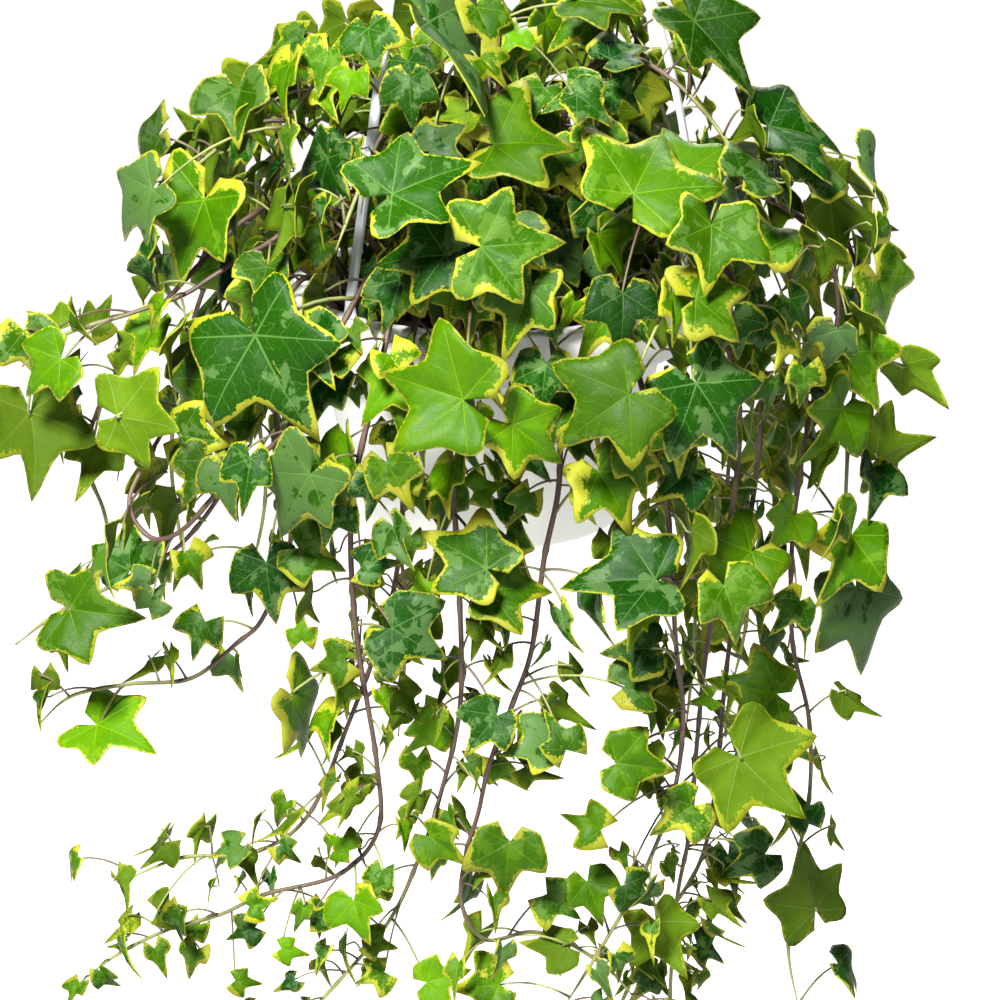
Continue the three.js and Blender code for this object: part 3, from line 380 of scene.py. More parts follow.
# Radius and height from the middle of the base up the outside, under the flange, round the
# collar, over the flange, and down the inside to the middle of the floor
floor_top = POT_WALL - POT_HEIGHT
under = -FLANGE_THICKNESS
collar_inner = RIM_RADIUS - COLLAR_WALL
pot_profile = np.array([
    (0.0, -POT_HEIGHT), (BASE_RADIUS - 2.5, -POT_HEIGHT), (BASE_RADIUS - 0.6, 0.5 - POT_HEIGHT),
    (outer_wall(2 - POT_HEIGHT), 2 - POT_HEIGHT), (outer_wall(-70), -70), (outer_wall(-30), -30),
    (outer_wall(-4), -4), (outer_wall(under) + 0.6, under), (slot_inner, under),
    (slot_outer, under), (collar_inner + 0.1, under - 0.4),
    (collar_inner + 0.8, 0.3 - COLLAR_HEIGHT), (collar_inner + 1.1, -COLLAR_HEIGHT),
    (RIM_RADIUS + 0.5, -COLLAR_HEIGHT),
    (RIM_RADIUS + 0.8, 0.4 - COLLAR_HEIGHT), (RIM_RADIUS, -1.4), (RIM_RADIUS - 0.3, -0.5),
    (RIM_RADIUS - 1, -0.1), (slot_outer, 0.0), (slot_inner, 0.0), (MOUTH_RADIUS + 0.7, 0.0),
    (MOUTH_RADIUS, -0.6), (inner_wall(-20), -20), (inner_wall(floor_top + 2), floor_top + 2),
    (inner_wall(floor_top) - 1.6, floor_top), (0.0, floor_top)])

# Rows of the profile at the slots' inner side under the flange and their outer side over it
SLOT_UNDER, SLOT_TOP = 8, 18


def lathe(profile, azimuths):
    """A profile turned about the axis: ring i, turn k is (r sin a, -r cos a, z). The poles are
    closed."""
    rings = polar(azimuths[None], profile[1:-1, :1], profile[1:-1, 1:])
    ends = [[0, 0, profile[0, 1]], [0, 0, profile[-1, 1]]]
    points = np.vstack([rings.reshape(-1, 3), ends])
    return {"points": points, "faces": ring_faces(*rings.shape[:2])}


# The slots: the cells of the flange's under side and top are left out there, and walls join the
# edges that this leaves, round each slot
pot_surface = lathe(pot_profile, turns)
walls = pot_surface["faces"][0].reshape(len(pot_profile) - 3, len(turns), 4)
kept = np.ones(walls.shape[:2], bool)
slot_walls = []
for low, high in slots:
    cells = np.flatnonzero((turns > low - NEARLY) & (turns < high - NEARLY))
    kept[[[SLOT_UNDER - 1], [SLOT_TOP - 1]], cells] = False
    for cell in cells:
        u, t = walls[SLOT_UNDER - 1, cell], walls[SLOT_TOP - 1, cell]
        slot_walls += [[u[0], u[1], t[2], t[3]], [u[2], u[3], t[0], t[1]]]
    u, t = walls[SLOT_UNDER - 1, cells[0]], walls[SLOT_TOP - 1, cells[0]]
    slot_walls.append([u[3], u[0], t[3], t[0]])
    u, t = walls[SLOT_UNDER - 1, cells[-1]], walls[SLOT_TOP - 1, cells[-1]]
    slot_walls.append([u[1], u[2], t[1], t[2]])
pot_surface["faces"] = [walls[kept], pot_surface["faces"][1], np.array(slot_walls)]
pot_surface["flat"] = [False, False, True]

# Polypropylene, off-white and satin: cloudy stains from water and soil about 36 mm across, and a
# moulding grain of 1 mm, drawn as coarse as it needs to show. A colour mix takes its share and
# its two colours at the sockets numbered here
pot_plastic, tree, shader = new_finish("off_white_moulded_polypropylene")
where = node(tree, "TexCoord").outputs["Object"]
SHARE, FIRST, SECOND = 0, 6, 7
cloud = node(tree, "TexNoise", {"Vector": where, "Scale": 1000 / STAIN_SIZE, "Detail": 4.0})
grain = node(tree, "TexNoise", {"Vector": where, "Scale": 1000 / GRAIN_SIZE, "Detail": 2.0})
stain = node(tree, "Mix", {SHARE: cloud, FIRST: linear("#fafaf7"), SECOND: linear("#e4e5db")},
             data_type="RGBA")
gloss = node(tree, "MapRange", {"Value": cloud, "To Min": 0.38, "To Max": 0.55})
pores = node(tree, "Bump", {"Height": grain, "Strength": 0.2, "Distance": 0.0001})
feed(tree, shader, {"Base Color": stain, "Roughness": gloss, "Normal": pores, "IOR": 1.49})
piece("pot_shell", pot_surface, pot_plastic, "pot", "pot")

# Soil
# Peat-based potting mix that fills the pot, a little domed, with lumps, fibres and a few pale
# grains of perlite. The stems stand in it.
SEAT_GAP = 0.3
SOIL_LEVEL = -14.0
SOIL_DOME = 5.0
SOIL_RINGS = 56
SOIL_TURNS = 144
LUMP_HEIGHT = 1.1
LUMP_WAVES = 30
LUMP_SPACING = (5, 30)
LUMP_SHARE = 8
LUMP_FADE = 6
LUMP_SEED = 7
CRUMB_SIZE = 2.38
PERLITE_SPACING = 6.25

DRAW_FACTOR = 16807
DRAW_MODULUS = 2147483647
SEED_FACTOR = 7919
SEED_START = 104729


def drawer(seed):
    """Numbers from 0 to 1: each state is 16807 times the last one, modulo 2147483647."""
    state = (seed * SEED_FACTOR + SEED_START) % DRAW_MODULUS

    def draw():
        nonlocal state
        state = state * DRAW_FACTOR % DRAW_MODULUS
        return state / DRAW_MODULUS
    return draw


def within(ends, share):
    """A number between two ends: least + (most - least) share."""
    least, most = ends
    return least + (most - least) * share


def soil_level(radius):
    """The soil's height: its level at the wall and a dome of cos(pi r / 2 R) over it."""
    return SOIL_LEVEL + SOIL_DOME * np.cos(np.pi * radius / (2 * MOUTH_RADIUS))


def lumps(x, y, draw):
    """Uneven ground: an eighth of the sum of 30 waves cos(k.x + phase), with wavelengths from 5
    to 30 mm."""
    total = 0.0
    for _ in range(LUMP_WAVES):
        way = math.tau * draw()
        wave = math.tau / within(LUMP_SPACING, draw())
        phase = math.tau * draw()
        total = total + np.cos(wave * (x * math.cos(way) + y * math.sin(way)) + phase)
    return total / LUMP_SHARE


side_radius = inner_wall(SOIL_LEVEL) - SEAT_GAP
top_radii = np.linspace(side_radius, 0, SOIL_RINGS)
soil_floor = floor_top + SEAT_GAP
soil_profile = np.array([(0, soil_floor), (inner_wall(soil_floor) - SEAT_GAP, soil_floor),
                         *zip(top_radii, soil_level(top_radii))])
soil_surface = lathe(soil_profile, np.arange(SOIL_TURNS) * 360 / SOIL_TURNS - 180)
ground = soil_surface["points"]
is_top = ground[:, 2] > -POT_HEIGHT / 2
fade = np.clip((side_radius - np.hypot(ground[:, 0], ground[:, 1])) / LUMP_FADE, 0, 1)
uneven = LUMP_HEIGHT * fade * lumps(ground[:, 0], ground[:, 1], drawer(LUMP_SEED))
ground[:, 2] += np.where(is_top, uneven, 0)

# Peat: nearly black, with brown crumbs of 2.4 mm and one white grain of perlite, 2 mm across, in
# every tenth cell of 6 mm
peat, tree, shader = new_finish("peat_potting_mix")
where = node(tree, "TexCoord").outputs["Object"]
crumb = node(tree, "TexNoise", {"Vector": where, "Scale": 1000 / CRUMB_SIZE, "Detail": 5.0,
                                "Roughness": 0.7})
cells = node(tree, "TexVoronoi", {"Vector": where, "Scale": 1000 / PERLITE_SPACING})
spot = node(tree, "MapRange", {"Value": cells, "From Min": 0.16, "From Max": 0.22,
                               "To Min": 1.0, "To Max": 0.0})
pick = node(tree, "SeparateColor", [cells.outputs["Color"]])
rare = node(tree, "Math", [pick, 0.9], operation="GREATER_THAN")
grain = node(tree, "Math", [spot, rare], operation="MULTIPLY")
earth = node(tree, "ValToRGB", [crumb])
dark_crumb, brown_crumb = earth.color_ramp.elements
dark_crumb.position, dark_crumb.color = 0.35, linear("#140d08")
brown_crumb.position, brown_crumb.color = 0.75, linear("#4a3524")
mixed = node(tree, "Mix", {SHARE: grain, FIRST: earth, SECOND: linear("#d8d4c8")}, data_type="RGBA")
rough = node(tree, "Bump", {"Height": crumb, "Strength": 0.9, "Distance": 0.0015})
feed(tree, shader, {"Base Color": mixed, "Roughness": 0.95, "Specular IOR Level": 0.2,
                    "Normal": rough})
piece("potting_mix", soil_surface, peat, "soil", "soil")

# Stems
# Thirty-one rooted runners, woody and brown near the pot and green at the tip, with a slight
# swelling at each joint. Each passes smoothly through measured points and holds its own leaves.
JOINT_SPACING = 34.0
STEM_LIFT = 3
STEM_FOOT = 9
STEM_SIDES = 7
CURVE_STEPS = 16
RING_SPACING = 3.4
SWELLING = 0.3
SWELLING_REACH = 2
KNOB_REACH = 3
TAPER_START, TAPER_RATE, TAPER_LEAST = 1.02, 12, 0.45
BLOTCH_SIZE = 11.1
PORE_SIZE = 1.43

# The stems are drawn a little thinner than the solids, which are 1.8 mm in radius at the root and
# 1 mm at the tip
STEM_ROOT_RADIUS = 1.35
STEM_TIP_RADIUS = 0.8

# Each stem: azimuth and radius of its hole in the soil, leaf length near the pot and at the
# tip, and the points that it passes through
STEMS = {
    "curl_left": ((-40, 60), (30, 16), [[-46, -72, 22], [-60, -96, 5], [-72, -108, -16],
        [-82, -113, -33], [-106, -110, -55], [-124, -104, -76], [-138, -96, -82], [-147, -88, -70],
        [-140, -80, -54], [-129, -72, -36], [-118, -64, -12], [-110, -60, 3]]),
    "far_left": ((-100, 60), (30, 16), [[-84, -2, 32], [-101, -18, 32], [-116, -26, 19],
        [-132, -31, 3], [-145, -34, -12], [-159, -37, -35], [-168, -39, -56], [-169, -40, -72],
        [-163, -40, -90], [-160, -40, -112]]),
    "left_high": ((-75, 34), (28, 16), [[-62, -38, 40], [-93, -60, 30], [-112, -67, 20],
        [-124, -70, 13], [-146, -74, 6], [-172, -76, -2], [-190, -74, -16]]),
    "left_sweep": ((-62, 62), (26, 12), [[-75, -50, 15], [-88, -64, -8], [-86, -77, -50],
        [-82, -80, -89], [-94, -75, -124], [-106, -70, -138], [-126, -64, -156], [-153, -58, -161],
        [-178, -54, -168], [-192, -52, -181]]),
    "left_low": ((-85, 63), (28, 14), [[-86, -22, 14], [-102, -38, -18], [-106, -46, -64],
        [-128, -46, -100], [-156, -45, -119], [-182, -43, -133], [-203, -40, -150]]),
    "fan_wide": ((-28, 60), (28, 12), [[-36, -80, 16], [-46, -102, -20], [-53, -109, -49],
        [-56, -108, -79], [-54, -104, -124], [-47, -97, -180], [-47, -91, -214], [-64, -85, -237],
        [-96, -79, -249], [-116, -74, -261], [-139, -70, -270], [-162, -66, -284],
        [-181, -62, -301]]),
    "fan_short": ((-20, 36), (24, 12), [[-20, -66, 26], [-31, -92, 0], [-34, -94, -50],
        [-40, -88, -110], [-60, -80, -172], [-78, -73, -216], [-102, -65, -236], [-133, -59, -241],
        [-161, -55, -255]]),
    "middle_left": ((-8, 62), (28, 12), [[-13, -84, 14], [-17, -100, -18], [-15, -104, -56],
        [-13, -102, -90], [-12, -98, -152], [-21, -91, -199], [-31, -85, -232], [-44, -81, -262],
        [-71, -79, -297], [-88, -77, -316]]),
    "middle_long": ((16, 61), (28, 14), [[22, -82, 14], [27, -99, -18], [28, -105, -55],
        [22, -106, -88], [17, -105, -128], [9, -103, -153], [0, -101, -179], [-5, -99, -203],
        [-10, -99, -221], [-12, -98, -244], [-2, -92, -264], [21, -85, -264], [48, -76, -283],
        [66, -72, -306]]),
    "front_right": ((38, 61), (30, 16), [[50, -73, 16], [60, -93, -14], [66, -105, -42],
        [72, -109, -70], [76, -105, -124], [80, -99, -161], [76, -93, -200], [63, -90, -238],
        [46, -90, -271], [30, -89, -300]]),
    "bundle_front": ((62, 62), (28, 16), [[79, -44, 16], [97, -52, -12], [103, -58, -39],
        [102, -63, -69], [97, -67, -102], [91, -67, -142], [88, -63, -185], [86, -58, -228],
        [81, -55, -263], [79, -51, -313], [81, -48, -344]]),
    "bundle_back": ((84, 62), (26, 16), [[87, -10, 18], [107, -12, -6], [115, -17, -41],
        [113, -25, -81], [106, -33, -124], [101, -38, -168], [98, -39, -214], [92, -36, -253],
        [73, -32, -290], [60, -28, -322], [50, -26, -352]]),
    "right_thick": ((95, 36), (28, 16), [[78, 4, 42], [112, 1, 38], [132, -4, 27], [144, -9, 11],
        [147, -13, -14], [139, -20, -38], [133, -26, -67], [129, -30, -106], [130, -32, -151],
        [138, -34, -187], [139, -34, -225], [133, -34, -263], [132, -34, -298], [138, -34, -328]]),
    "right_far": ((112, 62), (32, 20), [[92, 26, 42], [118, 24, 45], [140, 22, 35], [153, 20, 13],
        [160, 14, -12], [158, 8, -42], [155, 4, -72], [154, 0, -107], [152, -2, -144]]),
    "crown_front": ((0, 30), (26, 18), [[2, -40, 22], [4, -64, 46], [1, -90, 50], [-4, -108, 38],
        [-8, -118, 16]]),
    "crown_left": ((-60, 20), (28, 20), [[-24, -20, 40], [-33, -44, 72], [-42, -72, 80],
        [-50, -96, 66], [-60, -110, 42]]),
    "crown_right": ((50, 24), (28, 20), [[25, -26, 34], [38, -50, 58], [54, -78, 60],
        [70, -100, 46], [82, -110, 22]]),
    "crown_top_left": ((-120, 22), (26, 20), [[-30, 6, 50], [-44, -12, 88], [-59, -36, 100],
        [-74, -54, 92], [-86, -68, 74]]),
    "crown_top_right": ((110, 20), (28, 22), [[26, 4, 50], [38, -12, 90], [54, -34, 104],
        [73, -52, 98], [90, -62, 82], [106, -68, 58]]),
    "crown_top": ((180, 12), (28, 24), [[2, 9, 50], [4, -2, 96], [2, -26, 114], [-6, -54, 114],
        [-20, -80, 100]]),
    "crown_far_left": ((-95, 38), (28, 24), [[-58, 8, 42], [-78, 2, 66], [-97, -8, 70],
        [-114, -20, 61], [-130, -32, 49]]),
    "crown_far_right": ((75, 42), (24, 20), [[62, -18, 26], [86, -34, 44], [106, -50, 42],
        [120, -60, 24], [126, -66, 0], [124, -70, -26]]),
    "side_left": ((-112, 62), (33, 20), [[-88, 34, 24], [-116, 38, 4], [-134, 36, -42],
        [-141, 32, -92], [-135, 26, -140]]),
    "back_left": ((-130, 61), (35, 24), [[-72, 60, 20], [-96, 76, -10], [-107, 82, -60],
        [-103, 80, -120], [-110, 77, -158]]),
    "back_left_long": ((-155, 61), (35, 18), [[-38, 84, 20], [-46, 108, -16], [-48, 116, -70],
        [-46, 114, -130], [-40, 106, -190], [-44, 100, -250]]),
    "back_middle": ((178, 61), (35, 24), [[4, 88, 18], [2, 110, -18], [-4, 118, -70],
        [6, 118, -120], [2, 112, -152]]),
    "back_right_long": ((152, 61), (35, 18), [[40, 82, 20], [54, 106, -14], [72, 114, -66],
        [86, 112, -126], [96, 106, -186], [92, 98, -250]]),
    "back_right": ((130, 61), (35, 20), [[74, 58, 22], [98, 72, -8], [112, 76, -60],
        [108, 74, -120], [118, 68, -170], [110, 62, -214]]),
    "crown_back_left": ((-150, 34), (32, 26), [[-28, 42, 44], [-44, 62, 74], [-64, 82, 74],
        [-82, 96, 54], [-94, 104, 24]]),
    "crown_back_right": ((148, 34), (32, 26), [[26, 42, 46], [42, 60, 78], [58, 80, 80],
        [74, 96, 60], [84, 106, 28]]),
    "crown_back": ((182, 36), (32, 26), [[-2, 50, 50], [0, 72, 82], [-3, 98, 84], [0, 118, 62],
        [3, 130, 28]]),
}


def at_length(line, lengths, wanted):
    """The points of a line at given distances along it, even between the line's own points."""
    return np.stack([np.interp(wanted, lengths, line[:, k]) for k in range(3)], -1)


def stem_line(hole, path):
    """The smooth line of a stem from the soil, and how far along it each of its points lies."""
    start = polar(hole[0], hole[1], soil_level(hole[1]) + STEM_LIFT)
    line = smooth_points(np.vstack([start, path]).astype(float), CURVE_STEPS)
    steps = np.linalg.norm(np.diff(line, axis=0), axis=1)
    return line, np.concatenate([[0], np.cumsum(steps)])


plants = []
for name, (hole, leaf, path) in STEMS.items():
    line, lengths = stem_line(hole, path)
    count = math.floor(lengths[-1] / JOINT_SPACING + 0.5)
    places = lengths[-1] * np.arange(count + 1) / count
    plants.append({"name": name, "hole": hole, "leaf": leaf, "line": line, "lengths": lengths,
                   "joints": at_length(line, lengths, places), "spacing": lengths[-1] / count,
                   "borne": [0] * (count + 1), "leaves": [], "number": len(plants)})


def stem_surface(plant):
    """A round tube on the stem's line: its radius falls evenly to the tip, times 1 + 0.3
    exp(-(d / 2 mm) ** 2) at distance d from a joint, and times 12 (1.02 - share) at the very tip.
    Age falls from 1 at the soil to nearly 0."""
    total = plant["lengths"][-1]
    count = math.ceil(total / RING_SPACING)
    places = np.linspace(0, total, count + 1)
    azimuth, radius = plant["hole"]
    foot = polar(azimuth, radius, soil_level(radius) - STEM_FOOT)
    line = np.vstack([foot, at_length(plant["line"], plant["lengths"], places)])
    share = np.concatenate([[0], places / total])
    half = plant["spacing"] / 2
    off_joint = np.abs((share * total + half) % plant["spacing"] - half)
    radius = STEM_ROOT_RADIUS + (STEM_TIP_RADIUS - STEM_ROOT_RADIUS) * share
    radius = radius * (1 + SWELLING * np.exp(-(off_joint / SWELLING_REACH) ** 2))
    radius = radius * np.clip((TAPER_START - share) * TAPER_RATE, TAPER_LEAST, 1)
    made = carried(line, bar_section(2 * radius, 2 * radius, STEM_SIDES), (1, 0, 0.01))
    age = np.clip(1.15 - 1.1 * share, 0, 1)
    knob = np.exp(-(off_joint / KNOB_REACH) ** 2)
    made["layers"] = {"age": np.concatenate([np.repeat(age, STEM_SIDES), age[:1], age[-1:]]),
                      "knob": np.concatenate([np.repeat(knob, STEM_SIDES), [0, 0]])}
    return made


# Ivy stem and leaf stalk: brown bark in blotches of 11 mm, with pores and ridges of 1.4 mm, where
# it is old, and smooth and olive to yellow-green where it is young
bark, tree, shader = new_finish("ivy_bark_and_stalk")
where = node(tree, "TexCoord").outputs["Object"]
age = node(tree, "Attribute", attribute_name="age").outputs["Fac"]
knob = node(tree, "Attribute", attribute_name="knob").outputs["Fac"]
blotch = node(tree, "TexNoise", {"Vector": where, "Scale": 1000 / BLOTCH_SIZE, "Detail": 3.0})
grain = node(tree, "TexNoise", {"Vector": where, "Scale": 1000 / PORE_SIZE, "Detail": 3.0})
wood = node(tree, "Mix", {SHARE: blotch, FIRST: linear("#1d130f"), SECOND: linear("#5e4636")},
            data_type="RGBA")
young = node(tree, "Mix", {SHARE: blotch, FIRST: linear("#4f5626"), SECOND: linear("#868c4a")},
             data_type="RGBA")
old = node(tree, "MapRange", {"Value": age, "From Min": 0.12, "From Max": 0.4},
           interpolation_type="SMOOTHSTEP")
skin = node(tree, "Mix", {SHARE: old, FIRST: young, SECOND: wood}, data_type="RGBA")
ring = node(tree, "Math", [knob, 0.35], operation="MULTIPLY")
knotted = node(tree, "Mix", {SHARE: ring, FIRST: skin, SECOND: linear("#4a3a26")}, data_type="RGBA")
ridges = node(tree, "Bump", {"Height": grain, "Strength": 0.5, "Distance": 0.0004})
feed(tree, shader, {"Base Color": knotted, "Roughness": 0.6, "Normal": ridges})

# Places of the leaves
# Each leaf springs from a joint on its own stalk. The large ones stand where the solids have
# them, found by the same rule: first those seen from the front, then one at each bare joint.
LARGE_BLADE = 27
MIDDLE_BLADE = 19
SEAT_IN = 1.4
NECK_DROP = 2.4
NECK_SETBACK = 1.6
SHORT_PETIOLE = 20
PETIOLE_ARCH = 0.22
SAMPLE_STEP = 4.5
BAR_SAMPLE_STEP = 3
OWN_JOINT = 7
MOUTH_DEPTH = 6
STAND_HEIGHT = 50
STAND_MARGIN = 6
POT_CLEARANCE = 3.0
ARM_SAMPLES = 5
BARB_LENGTH = 6.7

# What blades and what stalks keep from everything else, in mm
LARGE_GAPS = (4.4, 3.4)

# A seen leaf's choice of joint: its distance, more where it would hang above the joint and where
# the joint bears leaves already
NEAREST_JOINT, FURTHEST_JOINT = 12, 90
MOST_ON_JOINT = 3
CROWDING = 8
CLIMB = 0.4
JOINTS_TRIED = 6
DEPTH_SHIFTS = (0, -5, 5, -10, 10, -16, 16, -24, 24)
ARROW_SEEN = 12

# Where a stalk springs below its joint, as a share of the way to the one before
FIRST_SPRING = 0.25
NEXT_SPRING = 0.2

# How far a large blade folds up to its sides, droops to its tip, and spreads
CUP = (0.1, 0.4)
DROOP = (0.06, 0.32)
BREADTH = (0.85, 1.1)

# How a leaf at a bare joint is tried: turn, lean, size, where its base and its tip go
FIRST_SEED = 500
LEAF_TRIES = 14
GROWN_TURN = (-0.8, 0.8)
GROWN_LEAN = (0.3, 1.1)
GROWN_SIZE = (0.85, 1.15)
SMALLER_EACH_TRY = 0.03
LEAST_REACH = 8
REACH = (0.5, 1)
OUTWARD = 0.75
SIDEWAYS = (0.2, 0.8)
UPWARD = (-0.35, 0.65)
TIP_ACROSS = (-0.1, 1.3)
TIP_ALONG = 0.6
UP = np.array([0, 0, 1])
KINDS = ("edged", "edged", "dark", "edged", "lime", "edged", "pale", "dark", "edged", "under")

# Place of the blade's base, length of the middle lobe, heading of its tip as seen (0 is right,
# 90 is up), turn to the right and lean back in degrees, and kind
SEEN_LEAVES = [
    (-10, -150, -7, 37, 165, -10, 20, "lime"), (9, -138, -21, 28, -40, 15, 10, "lime"),
    (54, -146, -6, 34, -145, 0, 25, "edged"), (81, -128, -7, 37, -60, 20, 20, "dark"),
    (80, -130, 28, 28, 5, 25, 35, "edged"), (52, -132, 29, 25, -95, 10, 30, "dark"),
    (22, -126, 0, 21, -95, 0, 15, "dark"), (-3, -140, 51, 33, 5, 0, 25, "edged"),
    (-17, -122, 43, 30, -175, -10, 35, "dark"), (-37, -128, 70, 37, 30, -10, 40, "dark"),
    (56, -112, 65, 40, 60, 10, 40, "edged"), (77, -104, 65, 29, 85, 20, 45, "lime"),
    (48, -62, 108, 22, 30, 10, 60, "dark"), (40, -84, 97, 21, -170, -10, 50, "dark"),
    (36, -50, 129, 27, -5, 0, 55, "edged"), (81, -66, 124, 38, -60, 25, 40, "dark"),
    (-24, -84, 127, 54, -58, 68, 40, "pale"), (108, -84, 34, 26, 70, 35, 35, "edged"),
    (86, -112, 55, 28, -105, 25, 30, "edged"), (100, -86, 68, 21, 25, 30, 50, "dark"),
    (121, -72, 13, 20, -60, 50, 20, "dark"), (132, -58, -4, 19, -120, 60, 10, "lime"),
    (113, -88, -18, 16, -95, 40, 10, "dark"), (126, -60, -25, 20, -65, 50, 15, "edged"),
    (129, -44, 55, 25, 35, 45, 40, "dark"), (113, -40, 78, 41, -20, 40, 55, "dark"),
    (142, -6, 42, 42, -40, 60, 20, "under"), (164, 2, 3, 30, -70, 45, 15, "edged"),
    (166, -6, -78, 31, 10, 50, 0, "under"), (126, -60, -85, 20, -135, 35, 10, "lime"),
    (147, -42, -44, 29, -135, 45, 10, "lime"), (107, -88, -91, 32, -145, 20, 30, "lime"),
    (66, -122, -89, 38, -180, 0, 50, "dark"), (49, -126, -78, 18, -110, 60, 10, "under"),
    (154, -30, -104, 35, -130, 40, 20, "edged"), (158, -18, -132, 43, -80, 40, 10, "pale"),
    (120, -72, -160, 28, 160, 20, 20, "edged"), (121, -62, -185, 22, -35, 30, 40, "edged"),
    (103, -78, -176, 37, -50, 20, 15, "under"), (141, -56, -267, 36, 105, 25, 10, "under"),
    (138, -48, -230, 18, 95, 40, 20, "dark"), (118, -64, -237, 22, -160, 20, 20, "dark"),
    (71, -78, -262, 27, -65, 10, 10, "under"), (52, -118, -172, 25, -10, 5, 20, "edged"),
    (55, -118, -138, 19, 15, 0, 40, "edged"), (3, -116, -152, 21, -130, 0, 35, "dark"),
    (23, -122, -164, 19, -175, 10, 45, "pale"), (31, -118, -162, 18, 115, 10, 10, "edged"),
    (-25, -108, -209, 20, -35, -10, 20, "edged"), (8, -108, -212, 26, -95, 0, 10, "edged"),
    (41, -92, -237, 20, -70, 0, 30, "lime"), (57, -96, -234, 17, -40, 10, 20, "dark"),
    (24, -90, -244, 18, -35, 0, 30, "edged"), (32, -84, -266, 20, -175, 0, 50, "under"),
    (4, -84, -289, 21, -175, 0, 30, "edged"), (-27, -96, -282, 20, 15, 0, 20, "lime"),
    (-1, -128, -84, 33, 150, -5, 30, "edged"), (-1, -122, -95, 27, 0, 5, 40, "edged"),
    (-92, -112, 8, 48, -55, -25, 15, "dark"), (-70, -122, -41, 36, -120, -20, 5, "pale"),
    (-173, -84, -10, 24, -135, -25, 20, "lime"), (-189, -62, -39, 36, -75, -20, 10, "under"),
    (-150, -64, -33, 36, 0, -25, 10, "under"), (-116, -52, 48, 39, -105, -35, 20, "edged"),
    (-136, -46, 55, 33, -135, -40, 20, "pale"), (-129, -30, 49, 18, 170, -40, 30, "lime"),
    (-78, -28, 100, 27, -170, -25, 45, "edged"), (-106, -14, 69, 19, 95, -40, 10, "under"),
    (-120, -14, 58, 20, 135, -50, 10, "under"), (-48, -66, 121, 21, -70, -20, 35, "dark"),
    (-31, -96, 107, 20, -85, -10, 20, "dark"), (-23, -112, 82, 20, 40, 0, 30, "pale"),
    (-78, -72, 83, 24, -90, -75, 10, "edged"),
    (-81, -88, 53, 24, -85, -50, 10, "under"), (-176, -58, -5, 16, 160, -20, 30, "under"),
    (-164, -54, -6, 18, 60, -30, 20, "under"), (-153, -64, -14, 17, -20, -30, 15, "under"),
    (-125, -90, -42, 24, 0, -30, 10, "edged"), (-105, -100, -46, 21, -80, -25, 20, "pale"),
    (-62, -112, -63, 18, -105, -10, 25, "dark"), (-150, -66, -107, 25, 100, -20, 20, "dark"),
    (-164, -50, -55, 25, -95, -20, 10, "under"), (-175, -62, -122, 31, 0, -20, 20, "edged"),
    (-91, -98, -92, 26, -80, -15, 15, "dark"), (-141, -74, -106, 17, -175, -10, 30, "pale"),
    (-167, -70, -179, 30, -5, -30, 60, "lime"), (-82, -88, -155, 36, -65, 65, 10, "edged"),
    (-39, -126, -110, 25, -30, -5, 20, "dark"), (-59, -104, -130, 17, -160, -10, 20, "edged"),
    (-51, -122, -85, 17, 5, 0, 20, "dark"), (-77, -104, -82, 20, -20, -10, 30, "edged"),
    (80, -116, -47, 20, -145, 10, 25, "dark"), (130, -62, -122, 19, -140, 30, 20, "edged"),
    (65, -108, -122, 20, 180, 5, 30, "dark"), (84, -92, -200, 21, -145, 10, 20, "edged"),
    (46, -108, -206, 18, 160, 0, 20, "edged"), (2, -92, 80, 34, 8, 0, 50, "edged"),
    (34, -78, 102, 19, -40, 10, 35, "dark"), (26, -96, 72, 24, -54, 0, 20, "edged"),
    (40, -44, 121, 21, -144, 0, 40, "edged"), (-64, -60, 111, 20, -94, -30, 30, "edged"),
]

# Blade outlines as angle from the middle lobe and reach, from the notch round to its other side
FIVE_LOBES = [(-158, 0.30), (-118, 0.56), (-90, 0.47), (-57, 0.82), (-30, 0.56), (0, 1),
              (30, 0.56), (57, 0.82), (90, 0.47), (118, 0.56), (158, 0.30)]
PLAIN_LOBES = [(-150, 0.36), (-112, 0.52), (-56, 0.78), (-30, 0.54), (0, 1),
               (30, 0.54), (56, 0.78), (112, 0.52), (150, 0.36)]
THREE_LOBES = [(-130, 0.44), (-56, 0.74), (-28, 0.50), (0, 1), (28, 0.50), (56, 0.74), (130, 0.44)]

taken = {"at": np.zeros((0, 3)), "owner": np.zeros(0, int)}
HANGER, LEAF = -1, -2


def take(points, owner):
    """Adds points to the places already taken, with the number of the piece that has them."""
    taken["at"] = np.vstack([taken["at"], points])
    taken["owner"] = np.concatenate([taken["owner"], np.full(len(points), owner)])


def is_clear(points, gap, own=None):
    """Whether every point keeps the gap from all that is taken, apart from its own stem."""
    at = taken["at"]
    near = ((at >= points.min(0) - gap) & (at <= points.max(0) + gap)).all(1)
    if own is not None:
        near &= taken["owner"] != own
    at = at[near]
    return not len(at) or np.linalg.norm(points[:, None] - at[None], axis=2).min() >= gap


def meets_pot(points):
    """Whether a point is in the pot with its margin, or under it where it can be stood down."""
    radius, z = np.hypot(points[:, 0], points[:, 1]), points[:, 2]
    inside = (radius < MOUTH_RADIUS - POT_CLEARANCE) & (z > -MOUTH_DEPTH)
    level = (z < POT_CLEARANCE) & (z > -POT_HEIGHT - POT_CLEARANCE)
    below = (z <= -POT_HEIGHT) & (z > -POT_HEIGHT - STAND_HEIGHT)
    beneath = below & (radius < BASE_RADIUS + STAND_MARGIN)
    return (beneath | (level & (radius < RIM_RADIUS + POT_CLEARANCE) & ~inside)).any()


